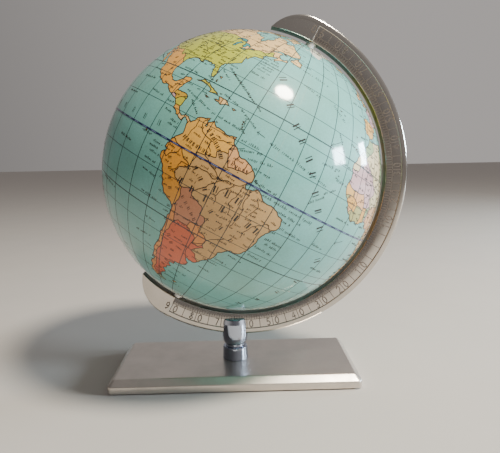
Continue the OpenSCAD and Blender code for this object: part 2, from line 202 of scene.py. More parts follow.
# ---- the printed map, drawn as longitude and latitude in degrees ----
COASTS = """
-77.4 8.7, -78.6 9.5, -79.7 9.6, -81.2 8.8, -82.3 9.2, -83.1 10.1, -83.7 11, -83.4 12.6, -83.2 15,
-84.4 15.8, -86 15.9, -88.7 15.8, -88.2 17.6, -87.5 19.6, -86.8 21.3, -88.3 21.6, -90.2 21.1, -90.7 19.6,
-91.8 18.5, -94.3 18.2, -96.2 19.4, -97.4 21.4, -97.8 22.6, -97.5 25, -97.3 27.5, -96 28.6, -94.7 29.5,
-93.2 29.8, -91.4 29.5, -90.3 29.1, -89.3 29.1, -89.6 30.2, -88 30.4, -86.2 30.4, -85.3 29.7, -84.1 30.1,
-82.8 29.1, -82.7 27.8, -81.9 26.3, -81.1 25.2, -80.3 25.4, -80.1 26.9, -80.9 28.9, -81.4 30.6, -80.9 32.1,
-79.2 33.1, -77.9 33.9, -76.5 34.7, -75.6 35.3, -76 36.9, -76.3 39.1, -75.3 38, -74.9 39.1, -74 40.6,
-71.9 41.1, -70 41.7, -70.8 42.7, -70.2 43.7, -68.4 44.4, -67 44.9, -65 45.5, -66 43.8, -65.4 43.5,
-63.4 44.7, -61.1 45.3, -59.9 46, -60.7 47, -61.7 45.8, -63.7 45.9, -64.9 46.8, -65.2 47.9, -64.2 48.8,
-66.8 49.1, -69.4 48, -71.2 46.8, -69 48.9, -66.8 50.1, -63 50.3, -60 50.3, -57.4 51.4, -55.7 52.2, -56 53.6,
-58.2 54.8, -60.4 56.2, -62 58, -64.5 60.4, -66 58.8, -68.2 58.3, -69.7 59.4, -70 60.9, -72.8 62, -75.6 62.3,
-77.9 62.5, -78.4 60.7, -77.4 59.4, -78.6 58.6, -76.7 57.2, -76.7 55.7, -79.2 54.5, -78.9 52.8, -79.6 51.3,
-80.8 51.4, -82.2 52.9, -82.3 55.1, -85.4 55.3, -88.6 56.7, -92.5 57, -94.4 58.8, -94.6 60.5, -93.2 61.9,
-90.7 63.4, -87.2 64.3, -86 66.3, -83.5 66.3, -81.3 67.5, -81.6 69.3, -85 69.7, -87.8 68.3, -90.4 69,
-92 69.8, -94.6 71.9, -96.1 70.4, -94 68.5, -98 67.8, -103 67.8, -108 67.8, -115 68, -116 69.2, -122 69.8,
-127.6 70.4, -131.5 69.7, -135.5 69.1, -141 69.7, -147 70.3, -152 70.8, -156.6 71.3, -162 70.1, -166.6 68.4,
-163.4 67.1, -161.8 66.3, -168 65.6, -164.8 64.4, -161 64.5, -161.2 63.4, -164.8 62.9, -166 61.6, -164 60.2,
-162.1 58.8, -158 58.6, -159.5 56.8, -164.8 54.6, -158.5 55.9, -154.3 58.2, -151.8 61, -150 59.7, -147 60.9,
-143.8 60, -139.6 59.5, -136.4 58.2, -133.6 56.2, -130.8 55, -129.8 53.5, -127.6 51.2, -124.8 49.6,
-122.8 48.9, -124.7 48.3, -124 46.2, -124.4 42.9, -124.2 40.6, -123 38.3, -121.9 36.6, -120.6 34.6,
-118.4 33.8, -117.1 32.5, -115.9 30.3, -114.3 28.6, -115 27.8, -112.2 25.8, -112 24.6, -110.1 22.9,
-109.5 23.3, -111.2 26, -112.8 28.4, -114.7 31, -114.6 31.8, -113 31.2, -112.2 29.1, -110.6 27.7,
-109.2 25.8, -106.6 23.6, -105.5 22, -105.5 20.4, -104.1 19.1, -101.8 17.8, -99.5 16.7, -96.5 15.7,
-94.6 16.2, -92.3 14.5, -90.4 13.9, -87.7 13, -86.5 12, -85.7 11, -85.7 9.9, -84 9.3, -83.4 8.4, -81.7 7.8,
-80.3 7.4, -80.2 8.3, -79.3 9, -78.2 8.2, -77.8 7, -77.4 5.6, -77.2 4, -78.8 2.3, -80 .8, -80.6 -.9,
-80.9 -2.2, -79.9 -2.5, -80.2 -3.4, -81.3 -4.3, -81.1 -6, -79.9 -7, -78.6 -9, -77.6 -11.2, -76.4 -13.8,
-75.2 -15.4, -72.4 -17, -70.4 -18.4, -70.1 -21, -70.5 -24.5, -71.1 -28, -71.6 -31.5, -71.6 -33.3,
-72.7 -35.6, -73.4 -37.4, -73.3 -39.6, -73.8 -41.7, -72.9 -42.3, -73.1 -44.2, -75.1 -46.7, -74.3 -48,
-75.4 -49.7, -74.7 -51.6, -73.4 -53, -71.2 -53.9, -70.9 -52.8, -68.4 -52.3, -69.1 -50.7, -67.6 -49.3,
-65.8 -47.8, -67.5 -46.1, -65.6 -45, -65.2 -43.4, -63.6 -42.6, -65 -41, -62.4 -40.6, -62.2 -39, -59 -38.7,
-57.6 -38.1, -56.7 -36.4, -58.4 -34.2, -56.9 -34.8, -54.9 -34.9, -53.4 -33.8, -52.1 -32.1, -50.3 -30.3,
-48.7 -28.4, -48.5 -26, -46.4 -24.1, -44.4 -23, -42 -22.9, -40.9 -21.8, -39.7 -19.5, -39.1 -17.6, -38.9 -15,
-38.4 -13, -37 -11.1, -35.2 -9.2, -34.8 -7.4, -35.3 -5.3, -37.2 -4.8, -38.7 -3.6, -41 -2.9, -44.2 -2.7,
-45.4 -1.4, -47.8 -.6, -48.5 -1.4, -50.8 -1.9, -51.4 -.6, -50.1 .8, -50 1.8, -51.3 4.1, -52.8 5.2, -55 6,
-57.2 6, -58.5 7.3, -60.4 8.5, -61 9.7, -62 10.6, -64.5 10.1, -66 10.6, -68.2 10.6, -69.9 12.1, -71.3 10.9,
-71.1 9.4, -71.8 9.4, -71.7 11, -71.4 12.3, -73 11.5, -74.3 11.2, -75.5 10.5, -75.7 9.4, -76.8 8.3;
-5.9 35.8, -6.9 34, -9.7 31.5, -9.8 29.8, -12.9 27.9, -14.6 26.1, -16.1 23.6, -17.1 20.9, -16.3 19.3,
-16.4 17, -17.5 14.8, -16.7 12.5, -15 10.9, -13.3 9.1, -12.6 7.6, -11 6.5, -9.1 5, -7.5 4.4, -5 5.2, -2 4.8,
1.2 6.1, 4.4 6.3, 6.1 4.3, 8.5 4.6, 9.7 3.6, 9.4 .6, 8.8 -.8, 11.5 -4.5, 12.3 -6.1, 13.3 -8.9, 13.8 -11,
12.4 -13.9, 11.8 -17.2, 14.5 -22.7, 15.1 -26.6, 16.5 -28.7, 18.2 -32.4, 18.5 -34.2, 20 -34.8, 22.6 -34,
25.7 -33.9, 28.5 -32.7, 31.2 -29.7, 32.8 -28, 32.7 -26, 35.4 -24, 35.3 -21.8, 34.8 -19.9, 37.2 -17.7,
40.3 -16, 40.6 -11, 39.3 -8, 39 -5.8, 40 -3.6, 42 -1, 46 2.9, 48.5 5.1, 50 8.3, 51.3 11.8, 47.5 11.1,
44.3 10.5, 43.3 12, 42.4 13.4, 39.6 15.3, 38.3 18, 37.2 20.6, 35.5 24, 33.8 27, 32.5 29.8, 32.4 31.2,
29 30.9, 25.3 31.5, 23 32.6, 20.2 32.6, 19.8 30.5, 15.6 32.2, 11.2 33.3, 10.3 34.4, 11 36.9, 9.8 37.3,
5 36.8, 0 35.8, -2.2 35.2, -5.2 35.4; 32.5 29.8, 34.2 27.9, 35 29.4, 35.2 28, 37.2 25, 39.1 21.6, 40.8 19.3,
42.7 16.6, 43.4 12.7, 45 12.9, 48.7 14, 52.2 15.7, 55.2 17.6, 57.8 19, 59.7 22.5, 57 24, 56.3 26.3,
54.4 24.3, 51.7 24.1, 51.3 26, 50.1 26.3, 48 29.9, 50.2 30, 51.3 28, 54.6 26.6, 57.1 27, 57.5 25.7,
61.6 25.1, 66.5 25.4, 68 23.7, 69.4 22.2, 70.5 20.8, 72.7 21.4, 72.9 19, 73.8 15.6, 74.9 12.9, 76.3 9.9,
77.5 8.1, 78.9 9.3, 79.9 10.4, 80.2 13.6, 80.4 15.6, 82.3 16.6, 85 19.4, 87 21.4, 89.5 21.8, 91.9 22.5,
92.7 20.2, 94.4 18.5, 94.3 16, 97 17.2, 97.8 15, 98.7 12, 98.3 8.2, 100.3 6, 101.4 2.9, 103.5 1.3, 104.2 1.5,
103.4 4.6, 102 6.3, 100.4 7.4, 99.3 9.5, 100 13.3, 101 12.7, 102.7 12, 105 8.7, 106.8 10.4, 109.2 11.7,
108.9 15.4, 106.5 18, 106 20, 108.2 21.6, 110.2 20.4, 113.6 22.2, 116.8 23.2, 119.6 25.7, 121.9 29,
121.8 31.5, 119.3 34.8, 120.7 36.2, 122.5 37.2, 119 37.3, 117.8 39, 121.6 40.8, 121.4 38.9, 124.9 39.8,
126.7 37.7, 126.4 34.5, 129.3 35.3, 129.4 37.2, 127.5 39.6, 130.6 42.3, 133 42.8, 136 44.5, 140.4 48.4,
141 52.6, 137.5 53.9, 135.3 54.8, 139.2 57.4, 143.5 59.3, 151 59.2, 156.5 61.6, 160.3 61.8, 163.8 62.5,
160 60.5, 156.7 57.5, 155.7 54.6, 156.8 51, 160 53.2, 162.5 56.3, 163.3 58.2, 166 60, 170.5 60, 177 62.4,
179.4 62.6, 177.5 64.8, 182 65.4, 186.8 64.3, 190.2 66.1, 184.5 67.3, 180 69, 170.5 69.9, 160.5 69.6,
152 70.9, 140 72.6, 130 71, 127.5 73.4, 113.5 73.6, 106 77.4, 103 77.6, 97 76, 86.8 75, 80.5 73.5, 80.4 72.1,
75 72.8, 72.8 71.2, 73.6 67.9, 72 66.4, 72 68.8, 70 73, 67 71.5, 67.3 69.3, 60.5 68.5, 54 68.5, 46 68.2,
46 66.9, 43.8 66.2, 44 68.4, 40.3 66.3, 40.3 64.6, 37.5 64, 34.8 65, 33 66.8, 41 66.5, 41 67.7, 33.5 69.4,
28 71, 24 70.8, 18.5 69.6, 14.9 67.7, 12.5 66, 10.3 63.9, 5.4 62, 5 60, 5.6 58.8, 8 58.1, 10.6 59.4, 11.6 58,
12.8 55.5, 14.3 55.5, 16.4 56.7, 17 58.6, 18.9 59.8, 17.3 61, 17.9 62.8, 21.6 64.5, 24.5 65.8, 25.2 65,
21.5 63, 21.4 61, 23 59.9, 28 60.5, 30 59.9, 25 59.5, 23.5 58.8, 24.4 57.2, 21.6 57.4, 21 55.5, 19.4 54.4,
16.2 54.3, 12.4 54.4, 10 54.6, 10.6 57.6, 8.2 56.9, 8.7 54, 6.4 53.5, 4.6 52.6, 3.4 51.4, 1.6 50.7, .2 49.6,
-1.7 49.7, -1.6 48.6, -4.7 48.4, -2.3 47.2, -1.2 45.6, -1.7 43.4, -4.5 43.5, -8 43.7, -9.2 43, -8.8 41,
-9.5 38.7, -8.9 37, -6.4 36.9, -5.5 36.1, -2.1 36.8, -.4 38.3, -.3 39.6, 3.2 41.9, 3.2 43.2, 7.5 43.8,
8.9 44.4, 10.4 43, 12.3 41.7, 15.6 40.1, 15.8 38, 17 39, 16.6 40.4, 18.4 40, 16 41.6, 13.7 43.5, 12.4 45.3,
13.8 45.6, 15.2 44.2, 19.3 42, 19.5 40.4, 21.2 38.4, 21.8 36.9, 23.1 36.6, 24 37.9, 22.9 39.5, 23.8 40.4,
26.2 40.8, 28.8 41, 28 42.2, 28.7 44, 30.8 46.4, 33 46.1, 33.6 44.5, 36.4 45.2, 38.8 47.2, 37.7 45.2,
39.8 43.4, 41.6 41.7, 38 41, 35 42, 31.5 41.3, 29.2 41.2, 29 40.5, 26.3 39.4, 27.3 37, 30.4 36.3, 32.6 36.1,
36 36.7, 35.8 34.4, 34.3 31.3, 32.4 31.2; -73 78.3, -68 76.1, -60 75.8, -56 73, -54 70.4, -51 69.6, -53.5 67,
-52 64, -48.3 61, -43.9 59.9, -42.3 62.8, -40 65.1, -33 67.8, -26 68.6, -22.3 70.3, -21.5 73, -19 76.4,
-19 79.6, -12 81.4, -30 83.5, -50 82.4, -60 81.9, -67 80.2; -61.5 66.7, -64.5 65.2, -65 63, -66.2 62,
-71.5 63.9, -77.6 64.4, -73.6 66.4, -72.5 67.8, -78 70, -88 70.5, -89.6 72.2, -85 73.7, -80.6 73.7, -76 72.4,
-70.6 71.1, -67 69.1; -117 69.8, -105.5 68.7, -101.5 69.8, -105 72.8, -111 72.8, -117.5 72.9, -118.5 71;
-125 72, -120.5 71.5, -117 73.3, -121.5 74.4, -124.8 73.8; -80 74.6, -92 74.8, -91.5 76.6, -80 75.8;
-78 76.3, -89.5 76.3, -87 78.2, -93 80.5, -90 81.9, -75 83, -62 82.4, -70 79.8, -75.5 78.5; -98 75,
-108 74.9, -117 75.6, -110 76.4, -100 76.6; -92 72.8, -96 72.5, -101 73, -95 74, -91 73.9; -97 77.8, -104 78,
-100 79, -92 81, -96 79.6; -80.2 63.8, -85.6 63.1, -86.5 65.6, -83 65.8; -59.3 47.7, -57.4 50, -55.8 51.6,
-55.9 49.8, -53.5 49.2, -52.9 46.9, -55.6 46.9; -64.4 49.9, -61.8 49.1, -63 49.2; -123.4 48.4, -125.1 50.2,
-128.2 50.7, -126.2 49.3; -131.2 52.1, -133 54, -131.8 54; -152.4 57.4, -154.5 57.2, -152.6 58.4; -84.9 21.9,
-82.5 23.1, -79.6 22.8, -77 21.6, -74.2 20.2, -77.7 19.9, -77.4 20.7, -79 21.6, -81.8 22.2, -83.2 22.1;
-74.4 18.5, -72.5 18.7, -73.3 19.9, -71.6 19.9, -69.9 19.7, -68.4 18.6, -70.4 18.3, -71.4 17.7, -72.4 18.2;
-78.3 18.4, -76.3 18.1, -77.2 17.8; -67.2 18.5, -65.7 18.4, -66.5 17.9; -61.9 10.1, -61.6 10.7, -60.9 10.8,
-61 10.1; -78.4 24.7, -78 25.2, -77.8 24.2; -78.4 26.7, -77.2 26.8, -77.3 26; -73.7 21.1, -73 21.2,
-73.4 20.9; -61.8 16.3, -61.2 16.4, -61.4 16; -61.5 15.6, -61.2 15.3, -61.5 15.2; -61.2 14.8, -60.8 14.5,
-61.1 14.4; -61.1 14, -60.8 13.9, -61 13.7; -59.7 13.3, -59.4 13.1, -59.6 13; -69.2 12.4, -68.8 12.1,
-69.1 12.1; -68.6 -52.7, -70.2 -52.7, -72 -54.2, -69.5 -54.9, -66.5 -55, -65.2 -54.7, -67.5 -53.8; -73.8 -42,
-74.2 -43.3, -73.5 -43.2; -60.8 -51.4, -59 -51.4, -58 -51.7, -59.4 -52.3, -60.6 -52.1; -91.2 .1, -90.8 -.9,
-91.4 -.8; -38 -54, -36 -54.6, -37.2 -54.3; -156 20.2, -154.9 19.5, -155.8 19; -158.2 21.6, -157.7 21.3,
-158.2 21.3; -159.6 22.2, -159.3 21.9, -159.7 21.9; -28.4 38.7, -27.1 38.7, -28 38.4; -25.8 37.9, -25.2 37.8,
-25.6 37.6; -17.2 32.9, -16.7 32.7, -17 32.6; -18 28.8, -17.8 28.5, -18 28.4; -16.8 28.4, -16.2 28.4,
-16.6 28; -15.8 28.1, -15.4 27.9, -15.7 27.7; -14.2 28.6, -13.9 28.3, -14.3 28.1; -25.2 17.1, -24.9 16.9,
-25.2 16.8; -23.8 15.2, -23.4 15, -23.7 14.9; -22.9 16.1, -22.7 16, -22.9 15.9; -5.4 50.1, -3.5 50.4,
1.3 51.1, 1.7 52.6, .3 53, -1.5 54.9, -2 57.6, -3.2 58.6, -5.1 58.5, -6 56.6, -4.9 54.8, -3.1 54.7, -3 53.4,
-4.6 53.1, -4.2 52.3, -5.2 51.8, -3.2 51.4; -6.3 52.2, -10.1 51.7, -9.8 54.1, -7.5 55.3, -5.7 54.5;
-22.6 63.9, -18.6 63.4, -14.1 64.8, -16 66.5, -20.5 66, -24.3 65.8; 11 79, 15 77, 20 78.6, 26.5 80, 15 80;
52 71, 57.3 70.7, 56.5 73, 68.6 76.8, 60.5 76.1, 54 73.4; 96 79.2, 105 78.4, 98 80.9, 92 80; 138 73.4,
143.5 73.3, 140 76, 137.5 75.3; 178.8 71.2, 181.5 71.1, 180 71.5; 8.3 39, 9.7 39.2, 9.4 41.1, 8.4 40.9;
8.7 41.7, 9.5 42, 9.4 43, 8.7 42.5; 12.5 37.8, 15.2 36.8, 15.5 38.2, 12.8 38.1; 23.6 35.3, 26.2 35.2,
24.6 35; 32.4 34.8, 34.4 35.5, 33.4 34.7; 10.8 55.8, 12.5 56.1, 12 54.9; 2.6 39.6, 3.3 39.7, 3 39.3; 22 58.5,
23.2 58.6, 22.3 58.1; 49.3 -12.1, 50.4 -15.6, 47.9 -22.4, 46.9 -25, 45.4 -25.5, 43.6 -23.3, 44.4 -20, 44 -17,
46.3 -15.8; 79.8 8, 80.1 9.7, 81.8 7.4, 80.5 6; 95.3 5.6, 97.5 5.1, 100.5 2.2, 103.5 .2, 106 -3, 105.8 -5.8,
102.3 -4, 99 .3, 97.2 3; 105.3 -6.7, 108.5 -6.6, 110.8 -6.5, 114.4 -7.8, 112 -8.3, 108 -7.8; 115.2 -8.3,
119 -8.4, 122.8 -8.4, 119 -8.9; 124 -10.2, 127 -8.5, 125 -9; 109 1.6, 111.3 2.4, 113.2 3.3, 116.8 6.9,
119.1 5.2, 117.9 1, 116.4 -2.5, 114.6 -4, 111.7 -3.3, 110 -1.3; 119.6 -5.5, 119 -2.8, 120 .8, 125 1.5,
121 .5, 120.3 -1, 123.2 -.9, 121.6 -2, 122.8 -4.6, 121 -2.9, 120.4 -5.4; 127.5 1.8, 128.7 1.2, 127.8 -.8;
126.2 -3.2, 130.5 -3.3, 129 -3.6; 131 -.8, 134 -.9, 135.2 -3.3, 138 -1.7, 144.5 -3.9, 147.8 -6, 150.8 -10.5,
147 -9.5, 143.6 -8.2, 141 -9.1, 138 -8.3, 138 -5.5, 133.2 -4, 132.2 -2.9; 148.4 -5.7, 152 -4.4, 150.5 -6.2;
155 -5.5, 156 -6.8, 155.2 -6.4; 159.8 -8.4, 161.5 -10.3, 159.8 -9.6; 164.2 -20.2, 167 -22.3, 165.5 -21.6;
177.4 -17.6, 178.6 -17.8, 177.8 -18.3; 120.3 16, 120.6 18.5, 122.2 18.4, 121.5 15.7, 124 13, 121 13.7; 122 7,
123.4 8.5, 125.5 9.8, 126.5 7.3, 125.4 5.7; 122 11.8, 123.2 10.8, 122.2 10.5; 124.5 12.5, 125.6 11.2,
124.8 10.3; 117.3 8.4, 119.5 11.2, 118.5 9.3; 120.1 23, 121.5 25.2, 120.9 22; 108.7 19.2, 110.9 20,
109.6 18.3; 131 34.3, 133 35.5, 136 35.7, 137 37.4, 139.5 38.5, 140 40.6, 141.3 41.4, 142 39.5, 140.8 36.5,
140 35.1, 137 34.6, 135.7 33.5, 134 34.6; 129.8 33, 131.8 33.5, 130.8 31.1; 132.4 33.7, 134.6 34.2,
133.3 32.9; 140 41.6, 140.5 43.3, 141.8 45.4, 145.3 43.7, 143.2 42, 141 42.4; 142 46, 142.2 50, 142.8 54.2,
143.4 51, 142.8 49, 143.5 46.6; 113.7 -22.5, 113.6 -26.5, 115.7 -31.8, 115.1 -34.3, 118 -35, 123.5 -33.9,
126 -32.3, 131 -31.5, 134.2 -33, 135.8 -34.8, 137.8 -32.7, 138.2 -35.5, 140 -37.5, 143.6 -38.8, 146.4 -39,
150 -37.3, 151.4 -33.4, 153 -31, 153.5 -28, 152.8 -25.3, 150.8 -23.3, 148.8 -20.5, 146.4 -18.9, 145.4 -15,
143.6 -14, 142.6 -10.8, 141.6 -13.5, 140.8 -17.4, 139 -17.3, 135.6 -15, 136.8 -12.2, 132.8 -11.5,
130.8 -12.4, 129.5 -14.9, 126.5 -14, 124 -16.3, 122.2 -18.2, 118.5 -20.3, 116 -20.8; 144.7 -40.8,
148.3 -40.9, 147 -43.6, 145.4 -42.6; 172.8 -34.5, 174.8 -36.8, 178.4 -37.7, 177 -39.5, 175.3 -41.6,
173.8 -39.4, 174.7 -38; 172.7 -40.6, 174.2 -41.6, 172.7 -43.8, 170.8 -45.9, 168.5 -46.6, 166.5 -45.9,
168.5 -44, 171.3 -42.2; 68.8 -48.7, 70.5 -49.2, 69 -49.8
"""
ANTARCTICA = """
-199 -71.5, -190 -71.5, -195 -74, -196 -77.5, -180 -78.3, -165 -78.4, -156 -77.2, -146 -75.5, -135 -74.5,
-125 -74, -110 -74.8, -100 -73, -88 -73.2, -76 -73.5, -70 -72, -67.5 -68, -62.5 -65, -57.5 -63.3,
-60.5 -65.6, -62 -69, -61 -74, -75 -77, -60 -77.3, -40 -78, -33 -76.5, -25 -75, -15 -72.8, -5 -70.8,
10 -70.2, 25 -70.2, 33 -69, 40 -69.8, 50 -66.5, 58 -67, 68 -67.9, 72 -69.8, 78 -69, 88 -66.6, 100 -65.5,
110 -66.2, 120 -66.8, 130 -66.1, 140 -66.6, 150 -68.4, 160 -69.8, 166 -70.8
"""
LAKES = """
-92 46.8, -90 47.8, -88.3 48.7, -86 48.6, -84.8 47.6, -84.7 46.6, -87 46.6, -88.4 47.3, -90.5 46.7;
-87.5 41.7, -86.4 42.4, -86.4 44, -85.2 45.4, -87 45.8, -87.8 44.5, -87.9 42.8; -84.3 46, -82 46.1,
-80.1 45.3, -80.2 44.6, -81.6 44.8, -81.7 43.4, -82.5 43.1, -83.7 43.8, -83.4 45.1; -83.3 41.8, -81.2 42.6,
-79 42.8, -81.3 41.8; -79.7 43.4, -78.4 43.9, -76.4 44, -76.6 43.6, -78.8 43.3; -98.5 53.5, -97 51.5,
-96.5 50.6, -97.6 52, -99 53.6; -117 61, -112 62.4, -109.5 62.7, -114 60.9; -125 65.5, -120 67, -118 66.4,
-121 65; 47 44.4, 49 46.2, 51.5 47, 53 46.4, 51.2 44.4, 53 42.2, 53.8 39, 54 37.2, 50.3 37.4, 49 39, 50 40.5,
47.8 42.8; 58.5 45, 61.4 46, 60 43.8; 104 51.6, 108 53.5, 109.8 55.6, 108 54.4; 31.8 -1, 34.2 -.6, 33 -2.5;
29.3 -3.5, 30.6 -7.5, 29.8 -5.5; 34.4 -10, 35 -14, 34.2 -12; 30.5 60.5, 32 61.6, 32.6 60.5
"""
